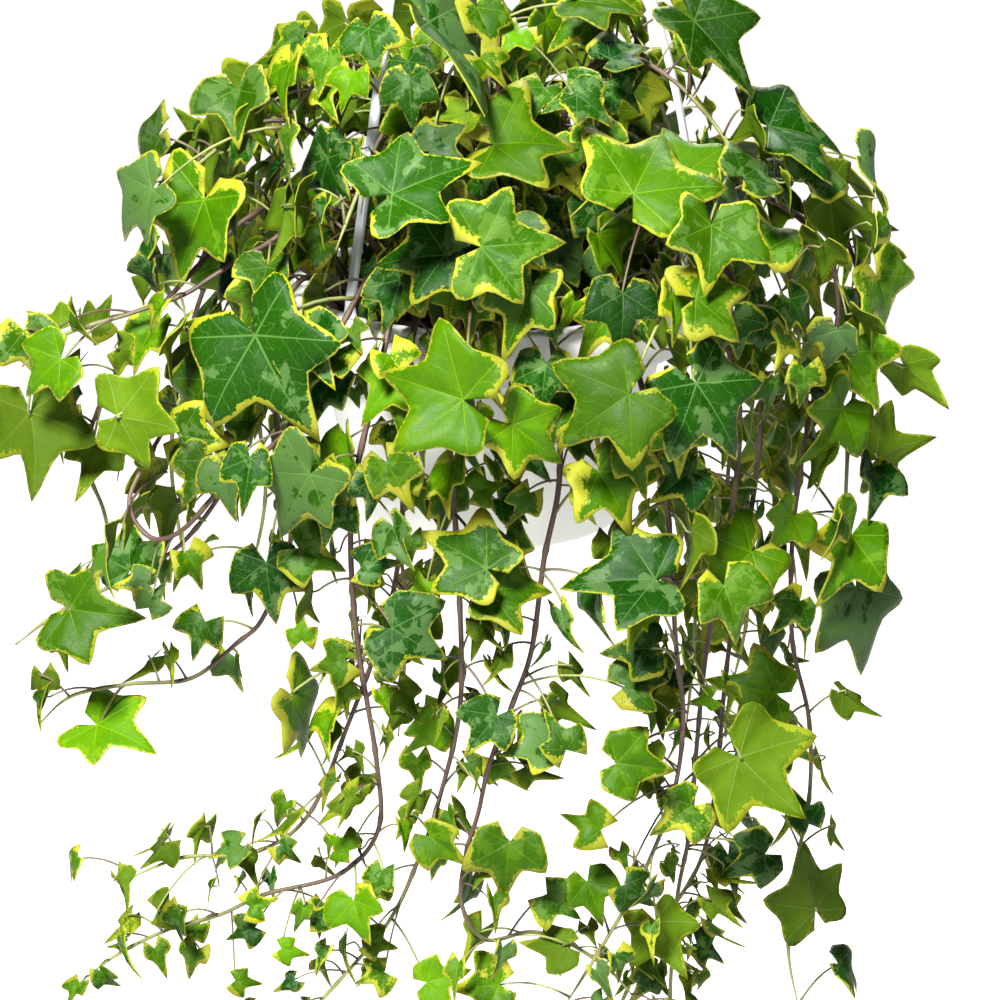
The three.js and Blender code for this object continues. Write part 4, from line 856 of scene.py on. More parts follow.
def points_along(line, step):
    """Points on each straight span of a line, evenly spaced no further apart than the step."""
    made = []
    for i, (a, b) in enumerate(zip(line[:-1], line[1:])):
        pieces = max(math.ceil(np.linalg.norm(b - a) / step), 1)
        share = np.arange(0 if i == 0 else 1, pieces + 1)[:, None] / pieces
        made.append(a + (b - a) * share)
    return np.vstack(made)


def lobes_of(leaf):
    """The outline that goes with a leaf's length."""
    if leaf["length"] >= LARGE_BLADE:
        return FIVE_LOBES
    return PLAIN_LOBES if leaf["length"] >= MIDDLE_BLADE else THREE_LOBES


def blade_places(leaf, u, v, height):
    """Places on a blade: base + (u tip + v side + h face) times length. side is face x tip."""
    side = np.cross(leaf["face"], leaf["tip"])
    offset = u[..., None] * leaf["tip"] + v[..., None] * side + height[..., None] * leaf["face"]
    return leaf["base"] + offset * leaf["length"]


def blade_corners(leaf, angles, reaches):
    """Corners of the plain blade: its height is cup |v| - droop u |u|, with v times the breadth."""
    a = np.radians(np.asarray(angles, float))
    u, v = reaches * np.cos(a), reaches * np.sin(a) * leaf["breadth"]
    return blade_places(leaf, u, v, leaf["cup"] * np.abs(v) - leaf["droop"] * u * np.abs(u))


def stalk_bend(leaf, root):
    """A stalk's guides: its root, the middle raised by 0.22 of the span, its neck behind the
    notch, and its seat in the blade."""
    seat = blade_corners(leaf, [0.0], np.array([SEAT_IN / leaf["length"]]))[0]
    neck = seat - NECK_DROP * leaf["face"] - NECK_SETBACK * leaf["tip"]
    bend = root + (neck - root) * 0.5
    bend[2] += PETIOLE_ARCH * np.linalg.norm(root - neck)
    return root, bend, neck, seat


def fits(leaf, plant, gaps):
    """Whether the blade and the stalk keep their gaps. If so, the leaf keeps its sample points."""
    blade_gap, stalk_gap = gaps
    rim = blade_corners(leaf, *np.array(lobes_of(leaf)).T)
    spokes = [np.vstack([leaf["base"], corner]) for corner in rim]
    spokes += [np.vstack([leaf["base"], (a + b) / 2]) for a, b in zip(rim[:-1], rim[1:])]
    blade = np.vstack([leaf["base"][None]] + [points_along(s, SAMPLE_STEP)[1:] for s in spokes])
    root, bend, neck, seat = stalk_bend(leaf, leaf["root"])
    t = np.array([0, 1] if np.linalg.norm(root - neck) < SHORT_PETIOLE else [0, 0.5, 1])[:, None]
    bow = (1 - t) ** 2 * root + 2 * (1 - t) * t * bend + t * t * neck
    stalk = points_along(np.vstack([bow, seat]), SAMPLE_STEP / 1.5)
    free = stalk[np.linalg.norm(stalk - leaf["root"], axis=1) > OWN_JOINT]
    away = free[np.linalg.norm(free - leaf["base"], axis=1) > OWN_JOINT]
    if meets_pot(blade) or (len(free) and meets_pot(free)):
        return False
    if len(away) and np.linalg.norm(away[:, None] - blade[None], axis=2).min() < stalk_gap:
        return False
    if not is_clear(blade, blade_gap):
        return False
    if len(free) and not is_clear(free, stalk_gap, plant["number"]):
        return False
    leaf["samples"] = np.vstack([blade, free])
    return True


def spring_share(plant, place):
    """Stalks spring a little below their joint, one after another where it bears several."""
    return FIRST_SPRING + NEXT_SPRING * plant["borne"][place]


def root_of(plant, place):
    """Where the next stalk springs, on the straight way from a joint to the one before."""
    joint, before = plant["joints"][place], plant["joints"][place - 1]
    return joint + (before - joint) * spring_share(plant, place)


def give(leaf, plant, spring):
    """Gives the leaf to the plant, with the distance along the stem where its stalk springs."""
    leaf["spring"] = spring
    plant["leaves"].append(leaf)
    plant["borne"][leaf["place"]] += 1
    take(leaf["samples"], LEAF)


def give_large(leaf, plant):
    """Gives a leaf whose stalk springs by the rule of its joint."""
    place = leaf["place"]
    give(leaf, plant, (place - spring_share(plant, place)) * plant["spacing"])


def leaf_shape(draw):
    """How far a blade folds up to its sides, droops to its tip, and spreads."""
    return {"cup": within(CUP, draw()), "droop": within(DROOP, draw()),
            "breadth": within(BREADTH, draw())}


def turned(vector, angle):
    """A vector turned about the upright axis by an angle in radians."""
    c, s = math.cos(angle), math.sin(angle)
    return np.array([vector[0] * c - vector[1] * s, vector[0] * s + vector[1] * c, vector[2]])


def seen_leaf(row, number, gaps):
    """A leaf seen from the front hangs on the nearest free joint, moved in depth if need be."""
    x, y, z, length, heading, turn, lean, kind = row
    shape = leaf_shape(drawer(number))
    rise, way = math.radians(lean), math.radians(heading)
    tip = turned([math.cos(way), math.sin(way) * math.sin(rise), math.sin(way) * math.cos(rise)],
                 math.radians(turn))
    face = turned([0, -math.cos(rise), math.sin(rise)], math.radians(turn))
    if kind == "under":
        face = -face
    choices = []
    for plant in plants:
        apart = np.linalg.norm(plant["joints"] - [x, y, z], axis=1)
        far = apart + CLIMB * np.maximum(z - plant["joints"][:, 2], 0)
        choices += [(far[place] + CROWDING * plant["borne"][place], plant, place)
                    for place in range(1, len(far)) if NEAREST_JOINT < far[place] < FURTHEST_JOINT
                    and plant["borne"][place] < MOST_ON_JOINT]
    choices.sort(key=lambda choice: choice[0])
    for shift in DEPTH_SHIFTS:
        for _, plant, place in choices[:JOINTS_TRIED]:
            leaf = {"base": np.array([x, y + shift, z], float), "tip": tip, "face": face,
                    "kind": kind, "arrow": length < ARROW_SEEN, "length": float(length),
                    "place": place, "root": root_of(plant, place), **shape}
            if fits(leaf, plant, gaps):
                give_large(leaf, plant)
                return


def grow_leaf(plant, place, draw):
    """A leaf on alternate sides of its joint, turned outward and up, with its tip hanging."""
    joints = plant["joints"]
    joint = joints[place]
    first, last = plant["leaf"]
    length = first + (last - first) * place / (len(joints) - 1)
    kind = KINDS[int(draw() * len(KINDS))]
    along = unit(joint - joints[place - 1])
    for attempt in range(LEAF_TRIES):
        out = turned(unit(joint * [1, 1, 0]), within(GROWN_TURN, draw()))
        across = np.cross(UP, out) * (1 if place % 2 else -1)
        size = length * within(GROWN_SIZE, draw()) * (1 - SMALLER_EACH_TRY * attempt)
        reach = LEAST_REACH + size * within(REACH, draw())
        base = joint + out * reach * OUTWARD + across * reach * within(SIDEWAYS, draw())
        base = base + UP * reach * within(UPWARD, draw())
        lean = within(GROWN_LEAN, draw())
        face = out * math.cos(lean) + UP * math.sin(lean)
        tip = across * within(TIP_ACROSS, draw()) - UP + along * TIP_ALONG
        tip = unit(tip - face * (tip @ face))
        leaf = {"base": base, "tip": tip, "face": face, "length": size, "kind": kind,
                "place": place, "root": root_of(plant, place), "arrow": False, **leaf_shape(draw)}
        if fits(leaf, plant, LARGE_GAPS):
            give_large(leaf, plant)
            return


for azimuth, bow in ARMS.values():
    share = np.arange(1, ARM_SAMPLES + 1) / ARM_SAMPLES
    radii = np.concatenate([[ARM_SEAT_RADIUS] * 3, arm_radius(share, bow)])
    heights = np.concatenate([[-BARB_LENGTH - FLANGE_THICKNESS, 0, ARM_FOOT],
                              ARM_FOOT + share * (HUB_HEIGHT - ARM_FOOT)])
    take(points_along(polar(azimuth, radii, heights), BAR_SAMPLE_STEP), HANGER)
for plant in plants:
    take(points_along(plant["joints"], BAR_SAMPLE_STEP), plant["number"])
for number, row in enumerate(SEEN_LEAVES, 1):
    seen_leaf(row, number, LARGE_GAPS)
for plant in plants:
    draw = drawer(FIRST_SEED + plant["number"])
    borne = plant["borne"]
    lowest = 1 if plant["name"].startswith("crown") else 2
    for place in range(len(borne) - 1, lowest - 1, -1):
        if not any(borne[place - 1:place + 2]):
            grow_leaf(plant, place, draw)

# Small leaves
# Between the large leaves sit many small ones, too fine for the solids: those that the
# photograph shows, and several between each pair of joints, more in the crown than below it.
SMALL_GAPS = (1.7, 1.2)
FIRST_SMALL = 201
ARROW_FILL = 17

# How a leaf between joints is tried: where its stalk springs, its turn, size, base, face and tip
FILL_SEED = 800
SEEDS_EACH_ROUND = 100
FILL_TRIES = 40
FILL_SPRING = 0.9
FILL_TURN = (-0.9, 0.9)
FILL_SIZE = (0.8, 1.2)
SMALLER_EACH_FILL = 0.02
LEAST_FILL_REACH = 6
FILL_REACH = (0.3, 1.0)
FILL_OUTWARD = (-0.3, 1.0)
FILL_SIDEWAYS = (0.1, 0.9)
FILL_UPWARD = (-0.4, 0.9)
FACE_UPWARD = (-0.1, 1.0)
FACE_SIDEWAYS = (-0.9, 0.9)
TURNED_OVER = 0.45
FILL_TIP_ACROSS = (-0.7, 1.1)
TIP_OUTWARD = 0.2
FILL_DROOP = (0.04, 0.44)

# Below the crown's foot a stem trails, and its small leaves are narrower and more folded
CROWN_FOOT = -100
CROWN_CUP, TRAIL_CUP = (0.1, 0.65), (0.1, 1.0)
CROWN_BREADTH, TRAIL_BREADTH = (0.7, 1.05), (0.55, 0.9)
CROWN_BLADE = 25
TRAIL_BLADE = 18
TIP_FADE = 0.75

# Each round: its leaves' size against the stem's, and the most leaves that a joint may then bear
# in the crown and on a trailing stem
FILL_ROUNDS = ((1.0, 7, 3), (0.9, 8, 4), (0.75, 9, 5), (0.6, 9, 5))

# How leafy a stem is, against the others: as part of the crown, and where it trails
LEAFINESS = {
    "fan_wide": (1, 1.3), "fan_short": (1, 1.9), "middle_left": (1, 1.5), "middle_long": (1, 1.3),
    "front_right": (1, 1.4), "right_far": (0.15, 0.1), "right_thick": (0.5, 0.45),
    "left_low": (0.15, 0.3), "left_sweep": (0.4, 0.45), "far_left": (0.12, 0.15),
    "left_high": (0.25, 0.2), "side_left": (0.1, 0.2), "curl_left": (0.25, 0.35),
    "back_left": (0.3, 0.4), "back_left_long": (0.6, 0.4), "back_right": (0.4, 0.4),
    "crown_far_right": (0.4, 0.4), "crown_far_left": (0.6, 0.5), "bundle_front": (1, 1.3),
    "bundle_back": (1, 1.3)}

# The small leaves that the photograph shows, in the same order of values as the large ones
SMALL_SEEN_LEAVES = [
    (25, -130, 15, 8, -80, 0, 10, "dark"), (92, -94, -153, 10, -165, 0, 10, "lime"),
    (-139, -50, 10, 15, 105, -30, 10, "under"), (-139, -78, -53, 12, 145, -30, 10, "lime"),
    (-140, -82, -114, 13, 60, -10, 10, "pale"), (-77, -98, -126, 13, 95, -10, 10, "lime"),
    (-34, -118, -54, 13, 100, 0, 10, "lime"), (-6, -124, -53, 14, 15, 0, 20, "lime"),
    (-26, -122, -96, 11, 110, 0, 10, "lime"), (-142, -78, -257, 13, 10, 0, 20, "under"),
    (-102, -84, -250, 13, 15, 0, 20, "edged"), (-100, -88, -260, 14, -155, 0, 20, "dark"),
    (-59, -96, -221, 12, 145, 0, 20, "lime"), (-110, -74, -292, 12, -10, 0, 20, "edged"),
    (-89, -86, -271, 13, -15, 0, 20, "lime"), (-76, -94, -254, 12, 35, 0, 20, "edged"),
    (-84, -84, -287, 11, -150, 0, 20, "dark"), (-51, -100, -261, 13, -15, 0, 20, "edged"),
    (-45, -96, -277, 14, -155, 0, 20, "edged"), (-89, -80, -226, 12, -40, 0, 20, "edged"),
    (42, -84, 85, 18, -90, 10, 45, "edged"), (49, -40, 126, 14, -44, 10, 45, "lime"),
    (-8, -88, 94, 16, -154, -10, 40, "under"), (4, -58, 110, 16, -60, 0, 45, "edged"),
    (-32, -78, 110, 19, -62, -20, 35, "dark"), (-54, -70, 105, 17, -100, -20, 30, "lime"),
    (22, -70, 97, 15, -114, 0, 50, "dark"), (12, -40, 120, 16, -124, 0, 55, "lime"),
    (-14, -50, 124, 13, -40, 0, 50, "edged"),
]

for number, row in enumerate(SMALL_SEEN_LEAVES, FIRST_SMALL):
    seen_leaf(row, number, SMALL_GAPS)

# These stems and the two front arms are seen bare between the leaves, so the nearest part of each
# line of sight from them to the camera is taken, in steps of mm, before more leaves are placed
SEEN_STEMS = ("bundle_front", "bundle_back", "front_right", "middle_left", "middle_long",
              "fan_wide", "right_thick", "left_sweep", "far_left", "curl_left")
BARE_BELOW = -70
BARE_FRONT = 20
HIDDEN_END = 60
STEM_SIGHT_STEP = 3.5
AHEAD_OF_STEM = range(9, 60, 4)
BARE_ARMS = ((ARMS["left"], 0.0, 0.5), (ARMS["right"], 0.17, 0.5))
ARM_SIGHTS = 60
AHEAD_OF_ARM = range(4, 100, 3)
BESIDE_ARM = 2.2
for plant in plants:
    if plant["name"] in SEEN_STEMS:
        along = np.arange(HIDDEN_END, plant["lengths"][-1] - HIDDEN_END, STEM_SIGHT_STEP)
        seen = at_length(plant["line"], plant["lengths"], along)
        seen = seen[(seen[:, 2] < BARE_BELOW) & (seen[:, 1] < BARE_FRONT)]
        sight = unit(np.array(CAMERA_PLACE) - seen)
        for ahead in AHEAD_OF_STEM:
            take(seen + ahead * sight, HANGER)
for (azimuth, bow), low, high in BARE_ARMS:
    share = np.linspace(low, high, ARM_SIGHTS)
    arm = polar(azimuth, arm_radius(share, bow), ARM_FOOT + share * (HUB_HEIGHT - ARM_FOOT))
    sight = unit(np.array(CAMERA_PLACE) - arm)
    for ahead in AHEAD_OF_ARM:
        for aside in (-BESIDE_ARM, BESIDE_ARM):
            take(arm + ahead * sight + [aside, 0, 0], HANGER)


def fill_leaf(plant, place, draw, length):
    """A leaf between two joints: its stalk turns any way outward, its face looks out and up."""
    spring = (place - FILL_SPRING * draw()) * plant["spacing"]
    root = at_length(plant["line"], plant["lengths"], np.array([spring]))[0]
    kind = KINDS[int(draw() * len(KINDS))]
    trailing = root[2] < CROWN_FOOT
    fold, spread = (TRAIL_CUP, TRAIL_BREADTH) if trailing else (CROWN_CUP, CROWN_BREADTH)
    for attempt in range(FILL_TRIES):
        out = turned(unit(root * [1, 1, 0]), within(FILL_TURN, draw()))
        across = np.cross(UP, out) * (1 if draw() > 0.5 else -1)
        size = length * within(FILL_SIZE, draw()) * (1 - SMALLER_EACH_FILL * attempt)
        reach = LEAST_FILL_REACH + size * within(FILL_REACH, draw())
        way = out * within(FILL_OUTWARD, draw()) + across * within(FILL_SIDEWAYS, draw())
        way = way + UP * within(FILL_UPWARD, draw())
        base = root + reach * unit(way)
        face = out + UP * within(FACE_UPWARD, draw())
        face = unit(face + across * within(FACE_SIDEWAYS, draw()))
        if trailing and draw() < TURNED_OVER:
            face = -face
        tip = across * within(FILL_TIP_ACROSS, draw()) - UP + out * TIP_OUTWARD
        tip = unit(tip - face * (tip @ face))
        leaf = {"base": base, "tip": tip, "face": face, "length": size, "kind": kind,
                "place": place, "root": root, "cup": within(fold, draw()),
                "droop": within(FILL_DROOP, draw()), "breadth": within(spread, draw()),
                "arrow": length < ARROW_FILL}
        if fits(leaf, plant, SMALL_GAPS):
            give(leaf, plant, spring)
            return


for round_number, (size_share, most_in_crown, most_below) in enumerate(FILL_ROUNDS):
    for plant in plants:
        draw = drawer(FILL_SEED + SEEDS_EACH_ROUND * round_number + plant["number"])
        first, last = plant["leaf"]
        crown_share, trail_share = LEAFINESS.get(plant["name"], (1, 1))
        joints = len(plant["borne"])
        for place in range(joints - 1, 0, -1):
            length = first + (last - first) * place / (joints - 1)
            if plant["joints"][place, 2] > CROWN_FOOT:
                length = max(length, CROWN_BLADE)
                allowed = most_in_crown * crown_share
            else:
                length = max(length, TRAIL_BLADE)
                fading = trail_share * (1 - TIP_FADE * (place / joints) ** 3)
                allowed = most_below * fading
            if plant["borne"][place] < allowed:
                fill_leaf(plant, place, draw, size_share * length)

# Stalks and blades
# A thin stalk rises from the joint and meets the blade in its notch. The blade is a thin leathery
# sheet with three to five pointed lobes, lifted at its sides and drooping to its tip.
STALK_SIDES = 5
STALK_RINGS = 8
STALK_LEAST, STALK_GROWTH = 0.35, 0.011
STALK_TAPER = 0.25
STALK_FOOT = 1.35
UNDER_SEAT, IN_SEAT = 0.3, 0.15
BROWN_STALK, BROWN_FOOT = 0.3, 0.25
LEAF_SEED = 3000
LEAST_WAVES = 3
TRAITS = ("shade", "brown", "wavy", "wave_phase", "curl", "lime", "warm", "grey", "margin",
          "skew_phase", "lobe_phase")


def stalk_surface(leaf, plant):
    """A thin tube on a quadratic bow from the stem's own line to the notch. Its radius is
    (0.35 + 0.011 length) (1 - 0.25 share), and 1.35 times as much at its foot."""
    root = at_length(plant["line"], plant["lengths"], np.array([leaf["spring"]]))[0]
    root, bend, neck, seat = stalk_bend(leaf, root)
    t = np.linspace(0, 1, STALK_RINGS)[:, None]
    line = np.vstack([(1 - t) ** 2 * root + 2 * (1 - t) * t * bend + t * t * neck,
                      (neck + seat) / 2 - UNDER_SEAT * leaf["face"], seat - IN_SEAT * leaf["face"]])
    share = np.linspace(0, 1, len(line))
    radius = (STALK_LEAST + STALK_GROWTH * leaf["length"]) * (1 - STALK_TAPER * share)
    radius[0] *= STALK_FOOT
    side = np.cross(leaf["face"], leaf["tip"])
    made = carried(line, bar_section(2 * radius, 2 * radius, STALK_SIDES), side)
    browned = leaf["brown"] * BROWN_STALK + BROWN_FOOT * (1 - share) ** 2
    age = np.concatenate([np.repeat(browned, STALK_SIDES), [0.2, 0]])
    made["layers"] = {"age": age, "knob": np.zeros(len(age))}
    return made


# Rounded outlines of the drawn blades, in the same values: large ones, and the arrow shape of the
# smallest
FIVE_ROUNDED = [(-160, 0.30), (-122, 0.57), (-88, 0.50), (-57, 0.82), (-29, 0.55), (0, 1),
                (29, 0.55), (57, 0.82), (88, 0.50), (122, 0.57), (160, 0.30)]
ARROW_LOBES = [(-138, 0.44), (-72, 0.52), (-38, 0.42), (0, 1), (38, 0.42), (72, 0.52), (138, 0.44)]

# A corner that reaches further than these is the middle lobe's tip or a side lobe's. Each sort of
# corner has the bulge of the outline there and the length of its handle, as a share of the span
MAIN_TIP, SIDE_TIP = 0.95, 0.7
TIP_BULGE, TIP_HANDLE = 0.24, 0.36
SIDE_TIP_BULGE, SIDE_TIP_HANDLE = 1.0, 0.34
ROUND_HANDLE = 0.4
NOTCH_SQUARE, NOTCH_HANDLE = 0.55, 0.3


def outline(lobes, steps):
    """The blade's rounded outline through its corners, one cubic curve (1-t)3 a + 3(1-t)2 t b
    + 3(1-t) t2 c + t3 d on each span. It leaves a pointed tip bulging outward from the way to the
    next notch, passes a rounded lobe square to its spoke, and leaves a notch in between."""
    a, r = np.array(lobes, float).T
    points = np.stack([r * np.cos(np.radians(a)), r * np.sin(np.radians(a))], -1)
    spoke = unit(points)
    is_tip = r > MAIN_TIP
    is_side_tip = (r > SIDE_TIP) & ~is_tip
    is_lobe = np.r_[False, (r[1:-1] > r[:-2]) & (r[1:-1] > r[2:]), False]
    t = np.linspace(0, 1, steps, endpoint=False)[:, None]

    def handle(i, j):
        """The guide of the span from corner i to corner j that is next to corner i."""
        chord = points[j] - points[i]
        span = np.linalg.norm(chord)
        ahead = chord / span
        square = np.array([-spoke[i, 1], spoke[i, 0]]) * (1 if j > i else -1)
        if is_tip[i]:
            return points[i] + TIP_HANDLE * span * unit(ahead + TIP_BULGE * square)
        if is_side_tip[i]:
            return points[i] + SIDE_TIP_HANDLE * span * unit(ahead + SIDE_TIP_BULGE * square)
        if is_lobe[i]:
            return points[i] + ROUND_HANDLE * span * square
        way = unit(NOTCH_SQUARE * square + (1 - NOTCH_SQUARE) * ahead)
        return points[i] + NOTCH_HANDLE * span * way

    spans = [(1 - t) ** 3 * points[i] + 3 * (1 - t) ** 2 * t * handle(i, i + 1)
             + 3 * (1 - t) * t * t * handle(i + 1, i) + t ** 3 * points[i + 1]
             for i in range(len(points) - 1)]
    return np.vstack([*spans, points[-1:]])


def sheet_faces(rings, turns):
    """Faces of a fan with its notch, of a back sheet turned over, and of the strip that joins
    them all round: out on the first spoke, along the rim and in on the last spoke."""
    hub = rings * turns
    i, k = np.meshgrid(np.arange(rings - 1), np.arange(turns - 1), indexing="ij")
    a = (i * turns + k).ravel()
    quads = np.stack([a, a + turns, a + turns + 1, a + 1], -1)
    k = np.arange(turns - 1)
    fan = np.stack([np.full(turns - 1, hub), k, k + 1], -1)
    back = hub + 1
    out = np.arange(rings) * turns
    along_rim = (rings - 1) * turns + np.arange(1, turns)
    loop = np.concatenate([[hub], out, along_rim, out[-2::-1] + turns - 1])
    after = np.roll(loop, -1)
    strip = np.stack([loop, loop + back, after + back, after], -1)
    return [quads, fan, quads[:, ::-1] + back, fan[:, ::-1] + back, strip]


# Each grid of a blade: its outline scaled to rings about the notch, with the notch last. It holds
# the outline, the places (u, v), the faces and each place's share of the way to the rim
GRIDS = {}
for size, lobes, steps, rings in (("large", FIVE_ROUNDED, 4, (0.3, 0.58, 0.82, 1)),
                                  ("middle", PLAIN_LOBES, 4, (0.4, 0.75, 1)),
                                  ("small", THREE_LOBES, 4, (0.45, 1)),
                                  ("arrow", ARROW_LOBES, 3, (0.45, 1))):
    rim = outline(lobes, steps)
    grid = np.vstack([*(ring * rim for ring in rings), [0, 0]])
    to_rim = np.concatenate([np.repeat(rings, len(rim)), [0]])
    GRIDS[size] = (rim, grid, sheet_faces(len(rings), len(rim)), to_rim)

SHEET = 0.42
LOPSIDED = 0.07
LOBES_LOPSIDED = 0.7
RIM_WAVE = 0.05
FOLD_ROUND = 0.05
VEIN_TURN = math.radians(29)
FIELD_LIFT = (0.12, 0.34)
RIM_CURL = (0.05, 0.22)
HEM_SHARES = (0.7, 0.4)
PATTERN_STEP = 3.7
YOUNG_BLADE, YOUNG_SHARE = 17, 0.4
FULL_MARGIN = 30
MARGIN_SHARE = (0.6, 1.5)

# Each kind of blade: how young its green looks and how grey its patches are, from least to most,
# the width of its yellow margin in mm, and how warm its green may be
LOOKS = {"edged": ((0.1, 0.65), (0.25, 0.85), 1.7, 1), "dark": ((0, 0.12), (0.3, 0.7), 0.8, 0.35),
         "lime": ((0.8, 1), (0.15, 0.15), 0.7, 1), "pale": ((0, 0.12), (1.5, 1.5), 1.0, 0.35),
         "under": ((0, 0.12), (0.25, 0.85), 0.9, 1)}


def grid_of(leaf):
    """The grid that goes with a leaf's length, or the arrow shape of a small one."""
    if leaf["length"] >= LARGE_BLADE:
        return GRIDS["large"]
    if leaf["length"] >= MIDDLE_BLADE:
        return GRIDS["middle"]
    return GRIDS["arrow" if leaf["arrow"] else "small"]


def blade_surface(leaf):
    """Both faces of a blade, each half a sheet from its middle. The middle's height over length
    is cup (sqrt(v2 + 0.05 2) - 0.05) - droop u |u| + 0.05 wavy out3 sin(waves a + phase)
    + lift r sin(off_vein) - curl out3 r: a fold, a droop, a wave along the rim, fields lifted
    between the veins and a rim curled back, where out is the share of the way to the rim."""
    rim, grid, faces, out = grid_of(leaf)
    angle = np.arctan2(grid[:, 1], grid[:, 0])
    whole, lobe = math.tau * leaf["skew_phase"], math.tau * leaf["lobe_phase"]
    uneven = np.sin(angle + whole) - math.sin(whole)
    uneven = uneven + LOBES_LOPSIDED * (np.sin(3 * angle + lobe) - math.sin(lobe))
    skew = 1 + LOPSIDED * uneven * out
    u, v = grid[:, 0] * skew, grid[:, 1] * leaf["breadth"] * skew
    reach = np.hypot(u, v)
    wave = np.sin(leaf["waves"] * angle + math.tau * leaf["wave_phase"])
    off_vein = np.abs((np.abs(angle) + VEIN_TURN) % (2 * VEIN_TURN) - VEIN_TURN)
    height = leaf["cup"] * (np.sqrt(v * v + FOLD_ROUND ** 2) - FOLD_ROUND)
    height = height - leaf["droop"] * u * np.abs(u)
    height = height + RIM_WAVE * leaf["wavy"] * out ** 3 * wave
    height = height + within(FIELD_LIFT, leaf["wavy"]) * reach * np.sin(off_vein)
    height = height - within(RIM_CURL, leaf["curl"]) * out ** 3 * reach
    front = blade_places(leaf, u, v, height) + SHEET / 2 * leaf["face"]

    # The distance in mm from the hem: the rim's corners, their middles and the two end spokes
    hem = rim * skew[-1 - len(rim):-1, None] * [1, leaf["breadth"]]
    ends = [share * hem[[0, -1]] for share in HEM_SHARES]
    hem = np.vstack([hem, (hem[:-1] + hem[1:]) / 2, *ends])
    apart = np.linalg.norm(np.stack([u, v], -1)[:, None] - hem[None], axis=2)
    edge = leaf["length"] * apart.min(1)

    ages, greys, margin, warmth = LOOKS[leaf["kind"]]
    young = within(ages, leaf["lime"])
    if leaf["length"] < YOUNG_BLADE:
        young = max(young, YOUNG_SHARE * leaf["warm"])
    margin = margin * within(MARGIN_SHARE, leaf["margin"]) * min(1, leaf["length"] / FULL_MARGIN)
    alike = {"margin": margin, "young": young, "grey": within(greys, leaf["grey"]),
             "shade": leaf["shade"], "warm": leaf["warm"] * warmth}
    count = len(grid)
    layers = {key: np.full(2 * count, float(value)) for key, value in alike.items()}
    pattern = np.column_stack([u, v, np.full(count, PATTERN_STEP * leaf["number"])])
    layers["place"] = np.tile(pattern, (2, 1))
    layers["edge"] = np.tile(edge, 2)
    layers["back"] = np.repeat([0.0, 1.0], count)
    return {"points": np.vstack([front, front - SHEET * leaf["face"]]), "faces": faces,
            "flat": [False] * 4 + [True], "layers": layers}


# Ivy blade: waxy and leathery. Dark green with grey-green patches inside a ragged yellow margin,
# or lime where it is young, with pale veins; the back is paler, olive and duller
PATTERN_BLADE = 33.15
PUCKER_SIZE = 2.55
CLOUD_SIZE = 12.75
FLANK_SIZE = 22.1
SAW_SIZE = 2.21
NET_SIZE = 2.21
PATCH_SIZE = 9.75
ivy_leaf, tree, shader = new_finish("waxy_ivy_leaf")
edge, margin, young, grey, shade, back, warm = [
    node(tree, "Attribute", attribute_name=key).outputs["Fac"]
    for key in ("edge", "margin", "young", "grey", "shade", "back", "warm")]
place = node(tree, "Attribute", attribute_name="place").outputs["Vector"]

# The patterns grow with the blade: they lie in its own space, where its length is 1, and their
# sizes are those in mm on a blade of 33 mm
fine = node(tree, "TexNoise", {"Vector": place, "Scale": PATTERN_BLADE / PUCKER_SIZE,
                               "Detail": 3.0})
broad = node(tree, "TexNoise", {"Vector": place, "Scale": PATTERN_BLADE / CLOUD_SIZE,
                                "Detail": 2.0})
flank = node(tree, "TexNoise", {"Vector": place, "Scale": PATTERN_BLADE / FLANK_SIZE,
                                "Detail": 1.0})
saw = node(tree, "TexNoise", {"Vector": place, "Scale": PATTERN_BLADE / SAW_SIZE, "Detail": 5.0,
                              "Roughness": 0.75})
patch = node(tree, "TexNoise", {"Vector": place, "Scale": PATTERN_BLADE / PATCH_SIZE,
                                "Detail": 5.0, "Roughness": 0.62, "Distortion": 0.4})
net = node(tree, "TexVoronoi", {"Vector": place, "Scale": PATTERN_BLADE / NET_SIZE},
           feature="DISTANCE_TO_EDGE")
tones = {name: node(tree, "Mix", {SHARE: share, FIRST: linear(first), SECOND: linear(second)},
                    data_type="RGBA")
         for name, share, first, second in (
             ("bluish", broad, "#0b3917", "#1b5a27"), ("grass", broad, "#2c5500", "#4c8000"),
             ("lime", broad, "#4a9000", "#80bb00"), ("back", broad, "#54781f", "#84a247"),
             ("dusty", young, "#73955f", "#86b424"), ("vein", young, "#7ea765", "#a2d23c"),
             ("yellow", patch, "#c0c834", "#eaea86"))}

# Veins: the main ones fan out from the notch and thin outwards, side veins slant off them, and a
# faint net of 2 mm fills the fields
MAIN_VEIN, VEIN_THINNING = 0.017, 0.012
SIDE_SLANT, SIDE_VEINS, SIDE_WANDER = 0.8, 6.5, 0.7
part = node(tree, "SeparateXYZ", [place])
flat_place = node(tree, "CombineXYZ", [part.outputs["X"], part.outputs["Y"]])
reach = node(tree, "VectorMath", [flat_place], operation="LENGTH")
bearing = node(tree, "Math", [part.outputs["Y"], part.outputs["X"]], operation="ARCTAN2")
bearing = node(tree, "Math", [bearing], operation="ABSOLUTE")
off_vein = node(tree, "Math", [bearing, VEIN_TURN], operation="PINGPONG")
across = node(tree, "Math", [off_vein], operation="SINE")
across = node(tree, "Math", [reach, across], operation="MULTIPLY")
along = node(tree, "Math", [off_vein], operation="COSINE")
along = node(tree, "Math", [reach, along], operation="MULTIPLY")
thinner = node(tree, "Math", [reach, VEIN_THINNING], operation="MULTIPLY")
half_vein = node(tree, "Math", [MAIN_VEIN, thinner], operation="SUBTRACT")
main_vein = node(tree, "MapRange", {"Value": across, "From Min": half_vein, "From Max": 0.0},
                 interpolation_type="SMOOTHSTEP")
slant = node(tree, "Math", [across, SIDE_SLANT], operation="MULTIPLY")
